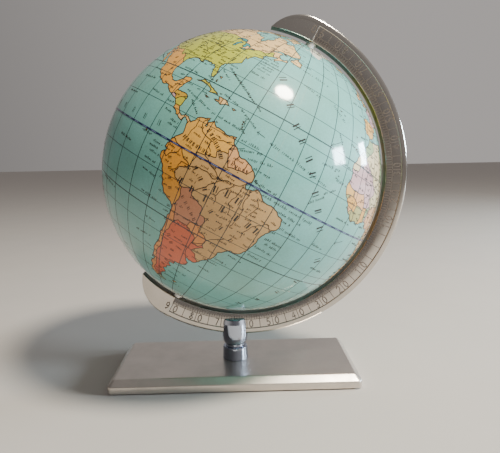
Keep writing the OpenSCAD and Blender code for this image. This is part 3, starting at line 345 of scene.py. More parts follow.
BORDERS = """
-123.6 49, -115 49, -105 49, -95.2 49, -93 48.6, -90.8 48.2, -89 48, -87 47.9; -86 47.9, -84.6 46.6,
-83.4 46, -82.6 45.3; -82.6 43.8, -82.4 42.8, -83.2 42.2, -82 42.1, -80 42.5, -79 43, -79.1 43.5; -77 43.8,
-76.2 44.2, -74.8 45, -71.5 45, -70.4 45.9, -69.2 47.4, -67.8 47.2, -67.4 45.5, -66.9 44.8; -141 70,
-141 60.2, -137.6 59, -135.4 59.7, -130.1 56, -131 54.4; -117.3 32.5, -114.8 32.6, -111 31.3, -108.2 31.4,
-106.5 31.8, -104.5 29.6, -103.2 29, -101.5 29.8, -99.5 27.5, -97 25.9; -92.4 14.4, -91.6 16.1, -91 17.8,
-89.1 17.8, -88 18.6; -88.9 15.7, -89.3 14.5, -90.2 13.6; -89.3 14.4, -87.8 13.9, -87.7 12.8; -87.2 12.8,
-86 13.9, -83 15; -85.9 11.1, -83.5 10.9; -83 8, -82.5 9.7; -77.2 8.9, -77.9 6.9; -71.2 12, -72.9 10.4,
-72.4 8.4, -70.5 7, -67.5 6.2, -67.4 3, -67 1.3, -69.8 1.1, -69.5 -1, -70 -4.2, -73.3 -2.4, -75.3 0,
-77.5 .5, -79.2 1.7; -75.3 0, -75.6 -1.8, -78.2 -3.4, -79 -4.9, -80.4 -4.2, -80.2 -3.2; -70 -4.2, -73 -5.6,
-73.9 -7.5, -72.8 -9.5, -70.6 -9.8, -70.6 -11, -69.5 -11, -65.4 -9.8, -65.3 -12, -60.4 -13.8, -60.2 -16.2,
-58.2 -16.6, -57.6 -18, -58.2 -19.9, -62.2 -20.5, -62.7 -22.1; -69.5 -11, -68.8 -14.5, -69.4 -16.8,
-69.5 -17.5, -70.7 -18.4; -69.5 -17.5, -68.5 -20, -67.9 -22.8, -66.2 -21.9, -62.7 -22.1, -58.2 -25,
-58.6 -27.3, -55.8 -27.4, -54.6 -25.6, -54.3 -24, -55.8 -22.3, -57.9 -22.1, -58.2 -19.9; -54.6 -25.6,
-53.8 -27, -57.6 -30.2, -55.5 -31, -53.2 -33.9; -57.6 -30.2, -58 -32.5, -58.6 -34.4; -67.9 -22.8, -68.5 -25,
-69.8 -29, -70 -33, -71 -36.5, -71.7 -40, -71.8 -44, -73 -48.5, -72.2 -52, -68.2 -52.2; -68.6 -52.6,
-68.6 -55; -60.2 8.8, -61.2 6.5, -60.7 5.1, -64.2 4, -63.6 2.3, -67 1.3; -60.7 5.1, -59.8 3, -58.8 1.3,
-56.2 1.9, -54.5 2.3, -52.7 2.2, -51.4 4.5; -57.2 6.2, -57.9 4, -56.2 1.9; -54.2 6.1, -54.5 2.3; -71.7 17.6,
-71.8 20.1; -9.9 27.6, -2 32, -1.5 32.2, -2 35.4; -13.2 27.7, -8.7 27.7, -8.7 25.6, -12 24, -13 21.3,
-17.3 21.2; -8.7 27.3, -8.7 25.6; -8.7 27.3, -1.5 32.2; -4.8 25, -8.7 27.3; -16.6 16.2, -12.2 14.8,
-5.5 15.5, -6.5 21, -4.8 25, 3.2 19, 12 23.5, 9.5 26.5, 9.8 30, 7.6 33.4, 8.2 37.2; -12.2 14.8, -11.4 12.4,
-13.7 12.6, -17 12.4; -13.7 12.6, -15.2 10.8; -11.4 12.4, -8 10.5, -8.3 7.6; -13.4 9, -10.7 8.5, -8.3 7.6,
-7.4 4.2; -11.7 6.7, -10.3 8.3; -8 10.5, -5.5 10.5, -2.8 9.8, -3.2 4.8; -2.8 9.8, -2.8 11, 0 11.1, 1.2 5.9;
0 11.1, 2.8 12.3, 1.7 6; -5.5 15.5, -4 13.6, -2.8 11; 2.8 12.3, .3 15, 4.2 17, 4.2 19.2; 2.8 12.3, 3.7 11.8,
2.8 6.1; 3.7 11.8, 7 13, 13.5 13.6, 14.5 12.6, 11.5 7, 8.4 4.4; 13.5 13.6, 15.9 20, 15 23, 12 23.5; 15 23,
24 19.5, 25 22, 25 31.8; 25 22, 37.2 22; 24 19.5, 22.5 14, 23 10.5, 27 5, 30 4.2, 34 4.5, 36 4.4, 42 4, 45 8,
48 8, 48 5; 14.5 12.6, 15.5 7.5, 23 10.5; 15.5 7.5, 14.5 4, 16 1.7, 18.5 3.6, 22.5 4.2, 27 5; 9.5 2.2,
13.2 2.2, 16 1.7; 16 1.7, 14 -1, 12.5 -4.8; 18.5 3.6, 17.5 -.8, 15.5 -4.4, 12.2 -6; 16.5 -6, 22 -7.2, 22 -11,
24 -11, 23.5 -17.6, 11.6 -17.2; 30 4.2, 29.8 -1, 29.4 -3.4, 30.6 -8.3, 28.6 -9, 29.8 -12.2, 28.5 -12.8,
24 -11; 29.8 -1, 34 -1, 39 -4.9; 34 -1, 34 4.5; 30.6 -8.3, 34.5 -11.5, 40.6 -10.7; 30.6 -8.3, 33 -9.6,
33 -14, 30.3 -15.5, 25.3 -17.8, 23.5 -17.6; 30.3 -15.5, 32.9 -17, 32.4 -21.3, 31.3 -22.4, 27 -21, 25.3 -17.8;
31.3 -22.4, 29.4 -22.2, 25.5 -25.5, 20 -27, 20 -18, 23.5 -17.6; 20 -27, 20 -28.5, 16.3 -28.7; 31.3 -22.4,
32 -26.8, 32.9 -26.9; 37.2 18, 36.4 14.5, 34 10, 34 8, 36 4.4; 36.4 14.5, 40 14.4, 43 12.4; 43.2 11.3,
42.8 9.5, 45 8; -8.9 41.9, -6.5 41.8, -7 39, -7.4 37; -2 43.5, 3.3 42.3; 2.4 51.3, 6 49.5, 8 49, 7.6 47.6,
6 46.2, 7.6 43.6; 7.6 47.6, 13 47.6, 17 48, 22 48.4, 24 47.9, 28 45.5, 29.8 45.2; 6 46.2, 13.6 46.5,
13.8 45.4; 6.9 53.6, 6 49.5; 14.2 54, 14.8 51, 12.2 50.3, 13.8 48.7, 17 48; 14.8 51, 18.8 49.6, 22.6 49.1,
22 48.4; 19.8 54.5, 23.4 54, 23.6 51.5, 22.6 49.1; 23.4 54, 27 56, 27.4 59.6; 28.2 56, 27 56; 27.8 60.7,
31.5 62.8, 29 66.8, 29 69.2, 31 70; 29 69.2, 24 68.7, 20.5 69, 14.5 66, 12.2 63, 12 60, 11.2 58.8; 20.5 69,
24 66.6, 24.1 65.6; 8.6 54.8, 10.2 54.8; 13.6 46.5, 16.5 46.5, 19 46, 21 46.2, 22.7 44.3, 28.7 43.7; 21 46.2,
20.5 48; 22.7 44.3, 22.8 41.4, 26.5 41.8, 26 40.7; 22.8 41.4, 21 40.8, 20 39.4; 21 40.8, 19.2 42; 26.5 41.8,
28.2 42; 41.3 41.5, 44 40, 44.8 39.4, 48.9 38.3; 44.8 39.4, 44.4 37, 36 36.5; 44.4 37, 46 33, 48.6 29.9;
41.2 34.3, 36 32.5, 35 29.3; 36 36.3, 41.2 37, 41.2 34.3, 46 29.3, 48.2 28.6; 36 32.5, 34.8 31.2; 54 37.3,
57 38, 61 36.5, 66.5 37.4, 71 38.4, 74.8 37.3, 80.2 42, 87.3 49.1, 98 50, 106 50.3, 116.5 49.8, 120 53.3,
126 53, 131 47.8, 134.8 48.4, 131 44.8, 130.6 42.2; 87.3 49.1, 97 42.8, 106 42, 112 44, 120 46.8, 116.5 49.8;
61 36.5, 61 31.5, 61.8 29.2, 63 27.2, 61.7 25; 61 31.5, 66.4 29.8, 69.5 33.5, 71 36, 74.8 37.3; 68.1 23.5,
71 27.5, 74.5 31, 74 34.5, 77.8 35.3, 79 32.3, 81 30.2, 88 27.9, 92 27.6, 97 28.3, 98.7 25.8, 101 21.5;
74.8 37.3, 77.8 35.3; 81 30.2, 80.2 28.8, 88 26.5, 88 27.9; 97 28.3, 94.5 24.5, 92.5 21.8; 88 26.5, 89 25.5,
88.5 21.7; 89 25.5, 92 25, 92.4 22.5; 101 21.5, 98 18, 98.9 15, 99.3 11, 98.6 10; 101 21.5, 105 23.2,
108 21.4; 101 21.5, 105.5 15.2, 105 14.2, 102.3 13.5, 102.6 11.8; 105.5 15.2, 107.6 13, 106 11, 104.4 10.3;
100 6.5, 102.2 6.1; 124.3 39.6, 128 41.8, 130.8 42.4; 126.3 37.9, 128.6 38.4; 109.4 1.8, 112 1.5, 115 3,
117.8 4.2; 141 -2.4, 141 -9.3; 52 19, 46 17.2, 42.6 16.4; 52 19, 55.3 20, 55 22.5, 51.5 24.4; 52 19, 53 16.5;
46 17.2, 45 12.7; 129 -14.7, 129 -32; 138 -16.4, 138 -26, 129 -26; 138 -26, 141 -26, 141 -38.2; 141 -29,
149 -29, 153.8 -28.2; 141 -34, 147 -36, 150.2 -37.5; 29.6 60, 27.4 59.6; 28 60.6, 27.6 60.8
"""
RIVERS = """
-50.6 -.5, -52.5 -1.8, -55 -2.4, -58.5 -3.1, -61.5 -4, -65 -3, -68 -3.5, -70 -4.2, -73.2 -4, -75.5 -8.5;
-59.9 -3.1, -61.5 -1.6, -64 -.6, -67 1.2; -58.5 -3.2, -61 -5.5, -63.5 -8.5, -65.3 -10.5; -54.6 -2.5,
-56.5 -5, -58.3 -8.5, -57.5 -11; -51.8 -2, -52.2 -5.5, -53.5 -8.5, -52 -12; -49 -1.8, -49.3 -5, -48.3 -8,
-48.5 -12, -49.5 -15; -36.6 -10.5, -39 -8.8, -41.5 -10.5, -43.5 -13, -44.5 -17; -58.5 -34, -59.5 -31.5,
-58.7 -27.5, -57.7 -24, -57.8 -19, -57 -16; -58.6 -27.3, -54.6 -25.3, -52 -22, -49 -20; -61.5 8.8, -64 8,
-66.5 7.5, -67.6 5.5, -66 3; -74.8 10.9, -74.3 8, -75.2 4, -76 2; -46 -2.5, -44.5 -5.5, -46 -9; -89.4 29.2,
-91.3 31.5, -90.3 35, -89.2 37, -90.3 39, -91.2 42, -93.2 45, -95 47.2; -90.3 38.8, -94.5 39.1, -96 41.5,
-99 44, -103 47.5, -108 48, -111.5 46; -89.2 37, -85 38.3, -80.5 40; -91 33.8, -95 35.5, -99 38, -104 38.2;
-71.2 46.8, -74 45.2; -135 68.8, -130 66, -125 62, -117 61; -106.5 31.7, -106.8 35; -114.7 31.9, -114 36,
-110.5 39; -124 46.2, -119 46, -118 49; 31 31.3, 31.2 27, 33 23, 32 18.5, 33.5 16, 32.5 12, 31.5 6, 31.8 2;
12.4 -6, 16 -3, 18 1.5, 24 1.8, 26 -3, 26 -8; 6 4.4, 6.5 8, 4 12, -.5 16.5, -4 14.5, -9 11; 36.2 -18.7,
32 -16, 27 -17.8, 23.5 -16; 48 46, 46 48.5, 49 53, 45 56.3, 36 57.5; 69 66.5, 66 62, 70 58.5, 80 54; 83 70,
88 66, 91 60, 92 54; 127 72.8, 124 66, 129 62.5, 115 59, 107 54; 140.6 52.8, 136 49, 128 49.5, 121 53.4;
121.8 31.4, 116 30, 111 30.3, 104 29, 98 31; 118.8 37.4, 113 35, 110 37.5, 108 40.5, 103 36; 88.8 22,
85 25.5, 79 28; 67.4 24, 70 29, 73 34; 105 9.5, 105 15, 101 20; 29.6 45.2, 23 43.8, 19 46, 13 48.6
"""

# ---- placing things on the ball and on the arm ----
def on_ball(lon, lat, radius=RADIUS):
    """World points of longitudes and latitudes in degrees, as an (n, 3) array."""
    lo, la = np.radians(np.asarray(lon, float) + MAP_TURN), np.radians(np.asarray(lat, float))
    local = np.stack([np.cos(la) * np.cos(lo), np.cos(la) * np.sin(lo), np.sin(la)], -1) * radius
    return local @ BALL.T + MIDDLE


def on_arm(angle, radius, y):
    """World points at angles from the north pole, in degrees, round the arm's flat plane."""
    a, r = np.radians(np.asarray(angle, float)), np.asarray(radius, float)
    local = np.stack([r * np.sin(a), np.broadcast_to(y, a.shape), r * np.cos(a)], -1)
    return local @ BALL.T + MIDDLE


def add(name, verts, faces, body, material, replaces=(), smooth=None):
    """Makes a piece: smooth is the angle in degrees above which an edge stays sharp."""
    mesh = bpy.data.meshes.new(name)
    mesh.from_pydata([tuple(v) for v in verts], [], [tuple(int(i) for i in f) for f in faces])
    mesh.update()
    if smooth is not None:
        mesh.shade_smooth()
        mesh.set_sharp_from_angle(angle=math.radians(smooth))
    mesh.materials.append(material.m)
    ob = bpy.data.objects.new(name, mesh)
    bpy.context.scene.collection.objects.link(ob)
    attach(ob, body)
    if replaces:
        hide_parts(*replaces)
    return ob


def tube(rings):
    """Faces that join equal rings of points one after another, and close both ends."""
    size, last = len(rings[0]), len(rings) - 1
    faces = []
    for start in range(0, last * size, size):
        for k in range(size):
            j = (k + 1) % size
            faces.append((start + k, start + j, start + size + j, start + size + k))
    return faces + [tuple(reversed(range(size))), tuple(last * size + k for k in range(size))]


def between(a, b, parts):
    """The points from just after a up to b, in equal parts."""
    return [(a[0] + (b[0] - a[0]) * k / parts, a[1] + (b[1] - a[1]) * k / parts) for k in range(1, parts + 1)]


def shade(mesh, normals):
    """Smooth shading with a chosen normal for each corner."""
    mesh.shade_smooth()
    mesh.normals_split_custom_set(normals)


class Relief:
    """Thin closed strips that stand on a face, gathered into one mesh."""

    def __init__(self):
        self.verts, self.faces, self.tops = [], [], []

    def strip(self, points, normals, width, top, bottom):
        """A strip along points: width across, from bottom to top along the normals."""
        p, n = np.asarray(points, float), np.asarray(normals, float)
        loop = len(p) > 3 and np.linalg.norm(p[0] - p[-1]) < 1e-7
        if loop:
            p, n = p[:-1], n[:-1]
            ahead = np.roll(p, -1, 0) - p
            ahead /= np.linalg.norm(ahead, axis=1, keepdims=True)
            along = np.roll(ahead, 1, 0) + ahead
        else:
            step = np.diff(p, axis=0)
            step /= np.linalg.norm(step, axis=1, keepdims=True)
            ahead = np.vstack([step, step[-1:]])
            along = np.vstack([step[:1], step[:-1] + step[1:], step[-1:]])
        along /= np.maximum(np.linalg.norm(along, axis=1, keepdims=True), 1e-9)
        # a bend is widened so that its sides stay parallel, but no more than a 0.6 cosine asks for
        corner = np.maximum(np.einsum("ij,ij->i", along, ahead), 0.6)
        side = np.cross(n, along)
        side *= (width / 2 / corner / np.linalg.norm(side, axis=1))[:, None]
        upper, lower = p + n * top, p + n * bottom
        ring = np.stack([upper + side, upper - side, lower - side, lower + side], 1)
        start, count = len(self.tops), len(p)
        self.verts.append(ring.reshape(-1, 3))
        self.tops += [n[k // 4] for k in range(4 * count)]
        for i in range(count if loop else count - 1):
            a, b = start + 4 * i, start + 4 * ((i + 1) % count)
            for k in range(4):
                j = (k + 1) % 4
                self.faces.append((a + k, a + j, b + j, b + k))
        if not loop:
            end = start + 4 * (count - 1)
            self.faces += [(start + 3, start + 2, start + 1, start), (end, end + 1, end + 2, end + 3)]

    def piece(self, name, body, material, slot):
        """The finished piece: its top faces are shaded as part of the face below them."""
        mesh = add(name, np.vstack(self.verts), self.faces, body, material).data
        normals = []
        for f in mesh.polygons:
            top = all(v % 4 < 2 for v in f.vertices)
            normals += [tuple(self.tops[v]) if top else tuple(f.normal) for v in f.vertices]
        shade(mesh, normals)


# all ink reaches down to this height over the ball's radius, in millimetres
INK_FOOT = -0.11


def ball_line(relief, lonlat, width, top, step=1.5):
    """A printed line on the ball: width and top are in millimetres, step in degrees."""
    pts = [lonlat[0]]
    for a, b in zip(lonlat, lonlat[1:]):
        long = max(abs(b[0] - a[0]) * math.cos(math.radians(a[1])), abs(b[1] - a[1]))
        pts += between(a, b, max(1, math.ceil(long / step)))
    p = on_ball(*zip(*pts))
    relief.strip(p, (p - MIDDLE) / RADIUS, width * MM, top * MM, INK_FOOT * MM)


# ---- the map: countries are flooded from the drawn lines ----
def numbers(text):
    return tuple(float(v) for v in text.split())


def bend(a, b, step, push, straight):
    """Points from a to b, with small seeded bends where the run is long."""
    squeeze = math.cos(math.radians((a[1] + b[1]) / 2))
    if math.hypot((b[0] - a[0]) * squeeze, b[1] - a[1]) < step:
        return [b]
    roll = random.Random(int(a[0] * 70 + a[1] * 130 + b[0] * 170 + b[1] * 290) % 99991)
    k = 0 if straight and (a[0] == b[0] or a[1] == b[1]) else roll.uniform(-push, push)
    m = ((a[0] + b[0]) / 2 - (b[1] - a[1]) * k / squeeze, (a[1] + b[1]) / 2 + (b[0] - a[0]) * squeeze * k)
    return bend(a, m, step, push, straight) + bend(m, b, step, push, straight)


def drawn(text, closed, push, straight=False, step=0.9, longer=0.0):
    """The lines of a map text, bent as if by hand. longer adds that many degrees at both ends."""
    out = []
    for part in text.split(";"):
        pts = [numbers(p) for p in part.split(",")]
        pts += pts[:1] if closed else []
        if longer:
            for end, near in ((0, 1), (-1, -2)):
                (x, y), (u, w) = pts[end], pts[near]
                d = longer / math.hypot(x - u, y - w)
                pts[end] = (x + (x - u) * d, y + (y - w) * d)
        run = [pts[0]]
        for a, b in zip(pts, pts[1:]):
            run += bend(a, b, step, push, straight)
        out.append(run)
    return out


coasts = drawn(COASTS, True, 0.13)
lakes = drawn(LAKES, True, 0.1)
borders = drawn(BORDERS, False, 0.1, True, longer=0.8)
rivers = drawn(RIVERS, False, 0.16, step=1.2)
ice = drawn(ANTARCTICA, False, 0.12, step=1.5)
# the ice sheet's shore, closed below the south pole
south_land = [ice[0] + [(170, -95), (-200, -95), ice[0][0]]]


def inside(polygons, x, y):
    """Whether each point lies inside any of the closed outlines."""
    hit = np.zeros(len(x), bool)
    for poly in polygons:
        q = np.array(poly)
        if x.max() < q[:, 0].min() or x.min() > q[:, 0].max():
            continue
        count = np.zeros(len(x), int)
        for (x0, y0), (x1, y1) in zip(q, q[1:]):
            if y0 != y1:
                count += ((y0 > y) != (y1 > y)) & (x < (x1 - x0) * (y - y0) / (y1 - y0) + x0)
        hit |= count % 2 == 1
    return hit


# the outlines are drawn eastwards from about this longitude, and some run on past the end of the turn
DRAWN_FROM = -199


def wrapped(lon):
    return (lon - DRAWN_FROM) % 360 + DRAWN_FROM


def is_land(lon, lat):
    low = wrapped(lon)
    return inside(coasts, low, lat) | inside(coasts, low + 360, lat) | inside(south_land, low, lat)


def is_lake(lon, lat):
    return inside(lakes, wrapped(lon), lat)


def seeds():
    """Longitude, latitude and colour of every place that SEEDS names."""
    out = []
    for line in SEEDS.split(";"):
        name, places = line.split(":")
        out += [(*numbers(p), PRINT[name.strip()]) for p in places.split(",")]
    return out


def cross(u, w):
    return u[..., 0] * w[..., 1] - u[..., 1] * w[..., 0]


def sides_of(t):
    return (t[0], t[1]), (t[1], t[2]), (t[2], t[0])


def flood(flat, unflat, walls, extra):
    """Fills a drawn plane with colour.

    flat turns longitude and latitude into the plane, and unflat turns them back. walls are rows of
    (kind, points), and a wall of kind "rule" cuts triangles but parts no colours. Returns the plane's
    points, its triangles, their middles and colours, and the edges to be inked, by kind."""
    verts, edges, kinds = [], [], []
    for kind, pts in walls:
        base = len(verts)
        verts += [flat(*p) for p in pts]
        edges += [(base + i, base + i + 1) for i in range(len(pts) - 1)]
        kinds += [kind] * (len(pts) - 1)
    verts += [flat(*p) for p in extra]
    merge = 1e-3
    v, e, f, _, origins, _ = delaunay_2d_cdt([Vector(p) for p in verts], edges, [], 0, merge, True)
    kind_of = {}
    for pair, origin in zip(e, origins):
        found = {kinds[i] for i in origin if i < len(kinds)} - {"rule"}
        if found:
            kind_of[tuple(sorted(pair))] = min(found)
    v = np.array([tuple(p) for p in v])
    f = np.array([t if cross(v[t[1]] - v[t[0]], v[t[2]] - v[t[0]]) > 0 else (t[0], t[2], t[1]) for t in f])
    mid = unflat(v[f].mean(1))

    # triangles with no inked edge between them belong to one region, named by its root
    group = list(range(len(f)))

    def root(i):
        while group[i] != i:
            group[i] = group[group[i]]
            i = group[i]
        return i

    sides = {}
    for i, t in enumerate(f):
        for a, b in sides_of(t):
            sides.setdefault((min(a, b), max(a, b)), []).append(i)
    for pair, both in sides.items():
        if len(both) == 2 and pair not in kind_of:
            group[root(both[0])] = root(both[1])
    roots = np.array([root(i) for i in range(len(f))])

    # a region's largest triangle tells whether it is sea, lake or land. Land is given a filler colour
    # first, picked by its place, and then the colour of a seed that falls in it
    a, b, c = v[f[:, 0]], v[f[:, 1]], v[f[:, 2]]
    area = np.abs(cross(b - a, c - a))
    best = {}
    for i, r in enumerate(roots):
        if r not in best or area[i] > area[best[r]]:
            best[r] = i
    at = mid[list(best.values())]
    tone, dry = {}, {}
    for r, p, on, wet in zip(best, at, is_land(*at.T), is_lake(*at.T)):
        dry[r] = bool(on and not wet)
        filler = FILLERS[int(abs(p[0] % 360) * 3 + p[1] * 7) % len(FILLERS)]
        tone[r] = PRINT["lake"] if wet else PRINT[filler] if on else PRINT["sea"]
    for lon, lat, color in seeds():
        for turn in (0, -360):
            p = np.array(flat(lon + turn, lat))
            s = [cross(y - x, p - x) for x, y in ((a, b), (b, c), (c, a))]
            for i in np.nonzero((s[0] >= 0) & (s[1] >= 0) & (s[2] >= 0))[0][:1]:
                if dry[roots[i]]:
                    tone[roots[i]] = color
    inked = {}
    for pair, kind in kind_of.items():
        by = [roots[i] for i in sides.get(pair, [])]
        if len(by) == 2 and by[0] != by[1] and (kind != "border" or dry[by[0]] and dry[by[1]]):
            inked.setdefault(kind, []).append(pair)
    return unflat(v), f, mid, np.array([tone[r] for r in roots]), inked


def chains(pairs):
    """Edges joined end to end into runs of vertices."""
    near = {}
    for a, b in pairs:
        near.setdefault(a, []).append(b)
        near.setdefault(b, []).append(a)
    left = {tuple(sorted(p)) for p in pairs}
    out = []
    for start in [v for v in near if len(near[v]) != 2] + list(near):
        for ahead in near[start]:
            if tuple(sorted((start, ahead))) not in left:
                continue
            run = [start]
            while ahead is not None:
                left.discard(tuple(sorted((run[-1], ahead))))
                run.append(ahead)
                on = [w for w in near[ahead] if tuple(sorted((ahead, w))) in left]
                ahead = on[0] if on and len(near[ahead]) == 2 else None
            out.append(run)
    return out


# depths of the paper's face and back under the ball's radius, in millimetres
PAPER_FACE, PAPER_BACK = 0.05, 0.34


def paper(name, lonlat, tris, colors, node):
    """A closed piece of printed paper: the given triangles, with a back and edges."""
    used, index = np.unique(tris, return_inverse=True)
    tris = index.reshape(-1, 3)
    lon, lat = lonlat[used].T
    face, back = (on_ball(lon, lat, RADIUS - deep * MM) for deep in (PAPER_FACE, PAPER_BACK))
    a, b, c = (face[tris[:, k]] for k in range(3))
    if (np.cross(b - a, c - a) * (a - MIDDLE)).sum() < 0:
        tris = tris[:, ::-1]
    count = len(used)
    once = dict.fromkeys(pair for t in tris for pair in sides_of(t))
    walls = [(b, a, a + count, b + count) for a, b in once if (b, a) not in once]
    faces = [tuple(t) for t in tris] + [(t[2] + count, t[1] + count, t[0] + count) for t in tris] + walls
    mesh = add(name, np.vstack([face, back]), faces, "ball", PAPER, [node]).data
    tint = mesh.attributes.new("print", "FLOAT_COLOR", "FACE")
    rows = [tuple(c) for c in colors] + [PRINT["back"]] * (len(tris) + len(walls))
    tint.data.foreach_set("color", np.array(rows, np.float32).ravel())
    out = np.vstack([face, back]) - MIDDLE
    out /= np.linalg.norm(out, axis=1, keepdims=True)
    normals = []
    for i, f in enumerate(mesh.polygons):
        sign = 1 if i < len(tris) else -1
        normals += [tuple(out[v] * sign) if i < 2 * len(tris) else tuple(f.normal) for v in f.vertices]
    shade(mesh, normals)


# ---- materials of the ball ----
def printed(name, color=None):
    """Varnished print: the flooded colour or an ink, with an aged, slightly blotchy coat."""
    sockets = {"Coat_Weight": 1.0, "Coat_Roughness": 0.09, "Coat_IOR": 1.5, "Specular_IOR_Level": 0.3}
    m = Mat(name, color or (200, 200, 200), **sockets)
    if color is None:
        tint = m.node("ShaderNodeAttribute", attribute_name="print")
        stain = m.spread(m.noise(0.022, 5.0, 0.6), 0.0, 0.28)
        fleck = m.spread(m.noise(0.0007, 2.0), 0.0, 0.16)
        aged = m.blend(stain, tint.outputs["Color"], srgb(176, 160, 112), "MULTIPLY")
        m.base(m.blend(fleck, aged, srgb(150, 138, 110), "MULTIPLY"))
    wave = m.noise(0.0016, 4.0, 0.55)
    return m.rough(m.spread(wave, 0.42, 0.6)).bump(wave, 0.00002, 0.35)


PAPER = printed("map_paper")
INK = printed("ink_black", (34, 30, 26))
FINE = printed("ink_grid", (28, 52, 56))
NAVY = printed("ink_navy", (26, 34, 84))
BROWN = printed("ink_coast", (62, 46, 34))
PALE = printed("ink_pale", (128, 142, 186))


# ---- the twelve gores, filled on a flat map ----
GRID = 2.5
SEAMS = [WEST + SPAN * k for k in range(GORES + 1)]
# a seam shows as a slightly yellowed line, which reaches this far to both sides, in degrees
SEAM_HALF, SEAM_TINT = 0.13, 0.14
SEAM_LATS = [-CAP_LAT + GRID * k for k in range(int(2 * CAP_LAT / GRID) + 1)]
COLUMNS = int(360 / GRID)

walls = [("rule", [(s + d, lat) for lat in SEAM_LATS]) for s in SEAMS for d in (-SEAM_HALF, 0, SEAM_HALF)]
walls += [("rule", [(WEST + GRID * k, lat) for k in range(COLUMNS + 1)]) for lat in (-CAP_LAT, CAP_LAT)]
# the sheet is one turn wide but starts elsewhere than the outlines, so they are also laid a turn west
for kind, outlines in (("coast", coasts), ("coast", lakes), ("border", borders), ("coast", ice)):
    for outline in outlines:
        for turn in (0, -360):
            pts = [(x + turn, y) for x, y in outline]
            if max(p[0] for p in pts) > WEST - 1 and min(p[0] for p in pts) < EAST + 1:
                walls.append((kind, pts))
grid = [(WEST + GRID * (i + 0.5), lat) for i in range(COLUMNS) for lat in SEAM_LATS[1:-1]]
lonlat, tris, mid, colors, edges = flood(lambda x, y: (x, y), lambda p: p, walls, grid)
for s in SEAMS:
    near = np.abs(mid[:, 0] - s) < SEAM_HALF
    colors[near] = colors[near] * (1 - SEAM_TINT) + np.array(PRINT["seam"]) * SEAM_TINT
for k in range(GORES):
    own = (np.abs(mid[:, 1]) < CAP_LAT) & (mid[:, 0] > SEAMS[k]) & (mid[:, 0] < SEAMS[k + 1])
    number = (k + GORES // 2) % GORES + 1
    paper(f"paper_gore_{number:02d}", lonlat, tris[own], colors[own], f"map_gore_{number:02d}")

COAST_WIDE, COAST_TOP = 0.4, -0.012
coast_ink, border_ink = Relief(), Relief()
for relief, kind, width, top in (
    (coast_ink, "coast", COAST_WIDE, COAST_TOP),
    (border_ink, "border", 0.33, -0.02),
):
    for i, run in enumerate(chains(edges[kind])):
        pts = [tuple(lonlat[v]) for v in run]
        if all(WEST - 0.01 <= x <= EAST + 0.01 and abs(y) <= CAP_LAT + 0.3 for x, y in pts):
            # slightly different widths, so that the ends of meeting lines don't coincide
            ball_line(relief, pts, width * (1 + 0.004 * (i % 7)), top)

# ---- the two polar caps, filled in a flat disc of degrees from the pole ----
BUSH_HOLE = math.degrees(math.asin(3.05 * MM / RADIUS))
ROUND = range(0, 360, 5)


def disc(sign):
    """The two functions that turn longitude and latitude into the disc round a pole, and back."""

    def flat(lon, lat):
        a = math.radians(lon)
        return ((90 - sign * lat) * math.cos(a), (90 - sign * lat) * math.sin(a))

    def unflat(p):
        return np.stack([np.degrees(np.arctan2(p[:, 1], p[:, 0])), sign * (90 - np.hypot(*p.T))], -1)

    return flat, unflat


for sign, which in ((1, "north"), (-1, "south")):
    walls = [("rule", [(a, sign * lat) for a in (*ROUND, 0)]) for lat in (90 - BUSH_HOLE, CAP_LAT)]
    walls += [("coast", line) for line in coasts if max(sign * y for _, y in line) > CAP_LAT - 1]
    dots = [(a + GRID * (j % 2), sign * (81.5 + 1.6 * j)) for a in ROUND for j in range(4)]
    lonlat, tris, mid, colors, edges = flood(*disc(sign), walls, dots + [(0, sign * 90)])
    own = (sign * mid[:, 1] > CAP_LAT + 0.02) & (sign * mid[:, 1] < 90 - BUSH_HOLE - 0.02)
    paper(f"paper_cap_{which}", lonlat, tris[own], colors[own], f"polar_cap_{which}")
    for run in chains(edges.get("coast", [])):
        # the runs are cut at the cap's edges, and where longitude jumps from 180 to -180
        parts = [[]]
        for q in [tuple(lonlat[v]) for v in run]:
            part = parts[-1]
            if CAP_LAT <= sign * q[1] <= 90 - BUSH_HOLE and (not part or abs(q[0] - part[-1][0]) < 20):
                part.append(q)
            else:
                parts.append([])
        for part in parts:
            if len(part) > 1:
                ball_line(coast_ink, part, COAST_WIDE, COAST_TOP)
coast_ink.piece("print_coasts", "ball", BROWN, "map_paper")
border_ink.piece("print_borders", "ball", INK, "map_paper")


# ---- rulings: every 10 degrees, the tropics and circles, and the banded equator ----
def lines_piece(name, ink, groups):
    """One piece of printed lines: groups are (lines, width, top, step)."""
    relief = Relief()
    for rows, width, top, step in groups:
        for pts in rows:
            ball_line(relief, pts, width, top, step)
    relief.piece(name, "ball", ink, "map_paper")


def parallels(lats):
    return [[(-180, lat), (180, lat)] for lat in lats]


# every third meridian runs on over the caps
highs = {lon: 86 if lon % 30 == 0 else CAP_LAT for lon in range(-180, 180, 10)}
lines_piece("print_rules", FINE, (
    ([[(lon, -high), (lon, high)] for lon, high in highs.items()], 0.34, -0.03, 2),
    (parallels([lat for lat in range(-80, 90, 10) if lat]), 0.25, -0.036, 2),
    (parallels((-66.5, -23.45, 23.45, 66.5)), 0.46, -0.024, 2),
))
lines_piece("print_equator", NAVY, [(parallels([0]), 0.8, -0.01, 1)])
dashes = [[(lon, 0), (lon + 2.4, 0)] for lon in range(-179, 180, 5)]
lines_piece("print_equator_bands", PALE, [(dashes, 0.26, -0.004, 1)])
lines_piece("print_rivers", INK, [(rivers, 0.28, -0.022, 1.5)])


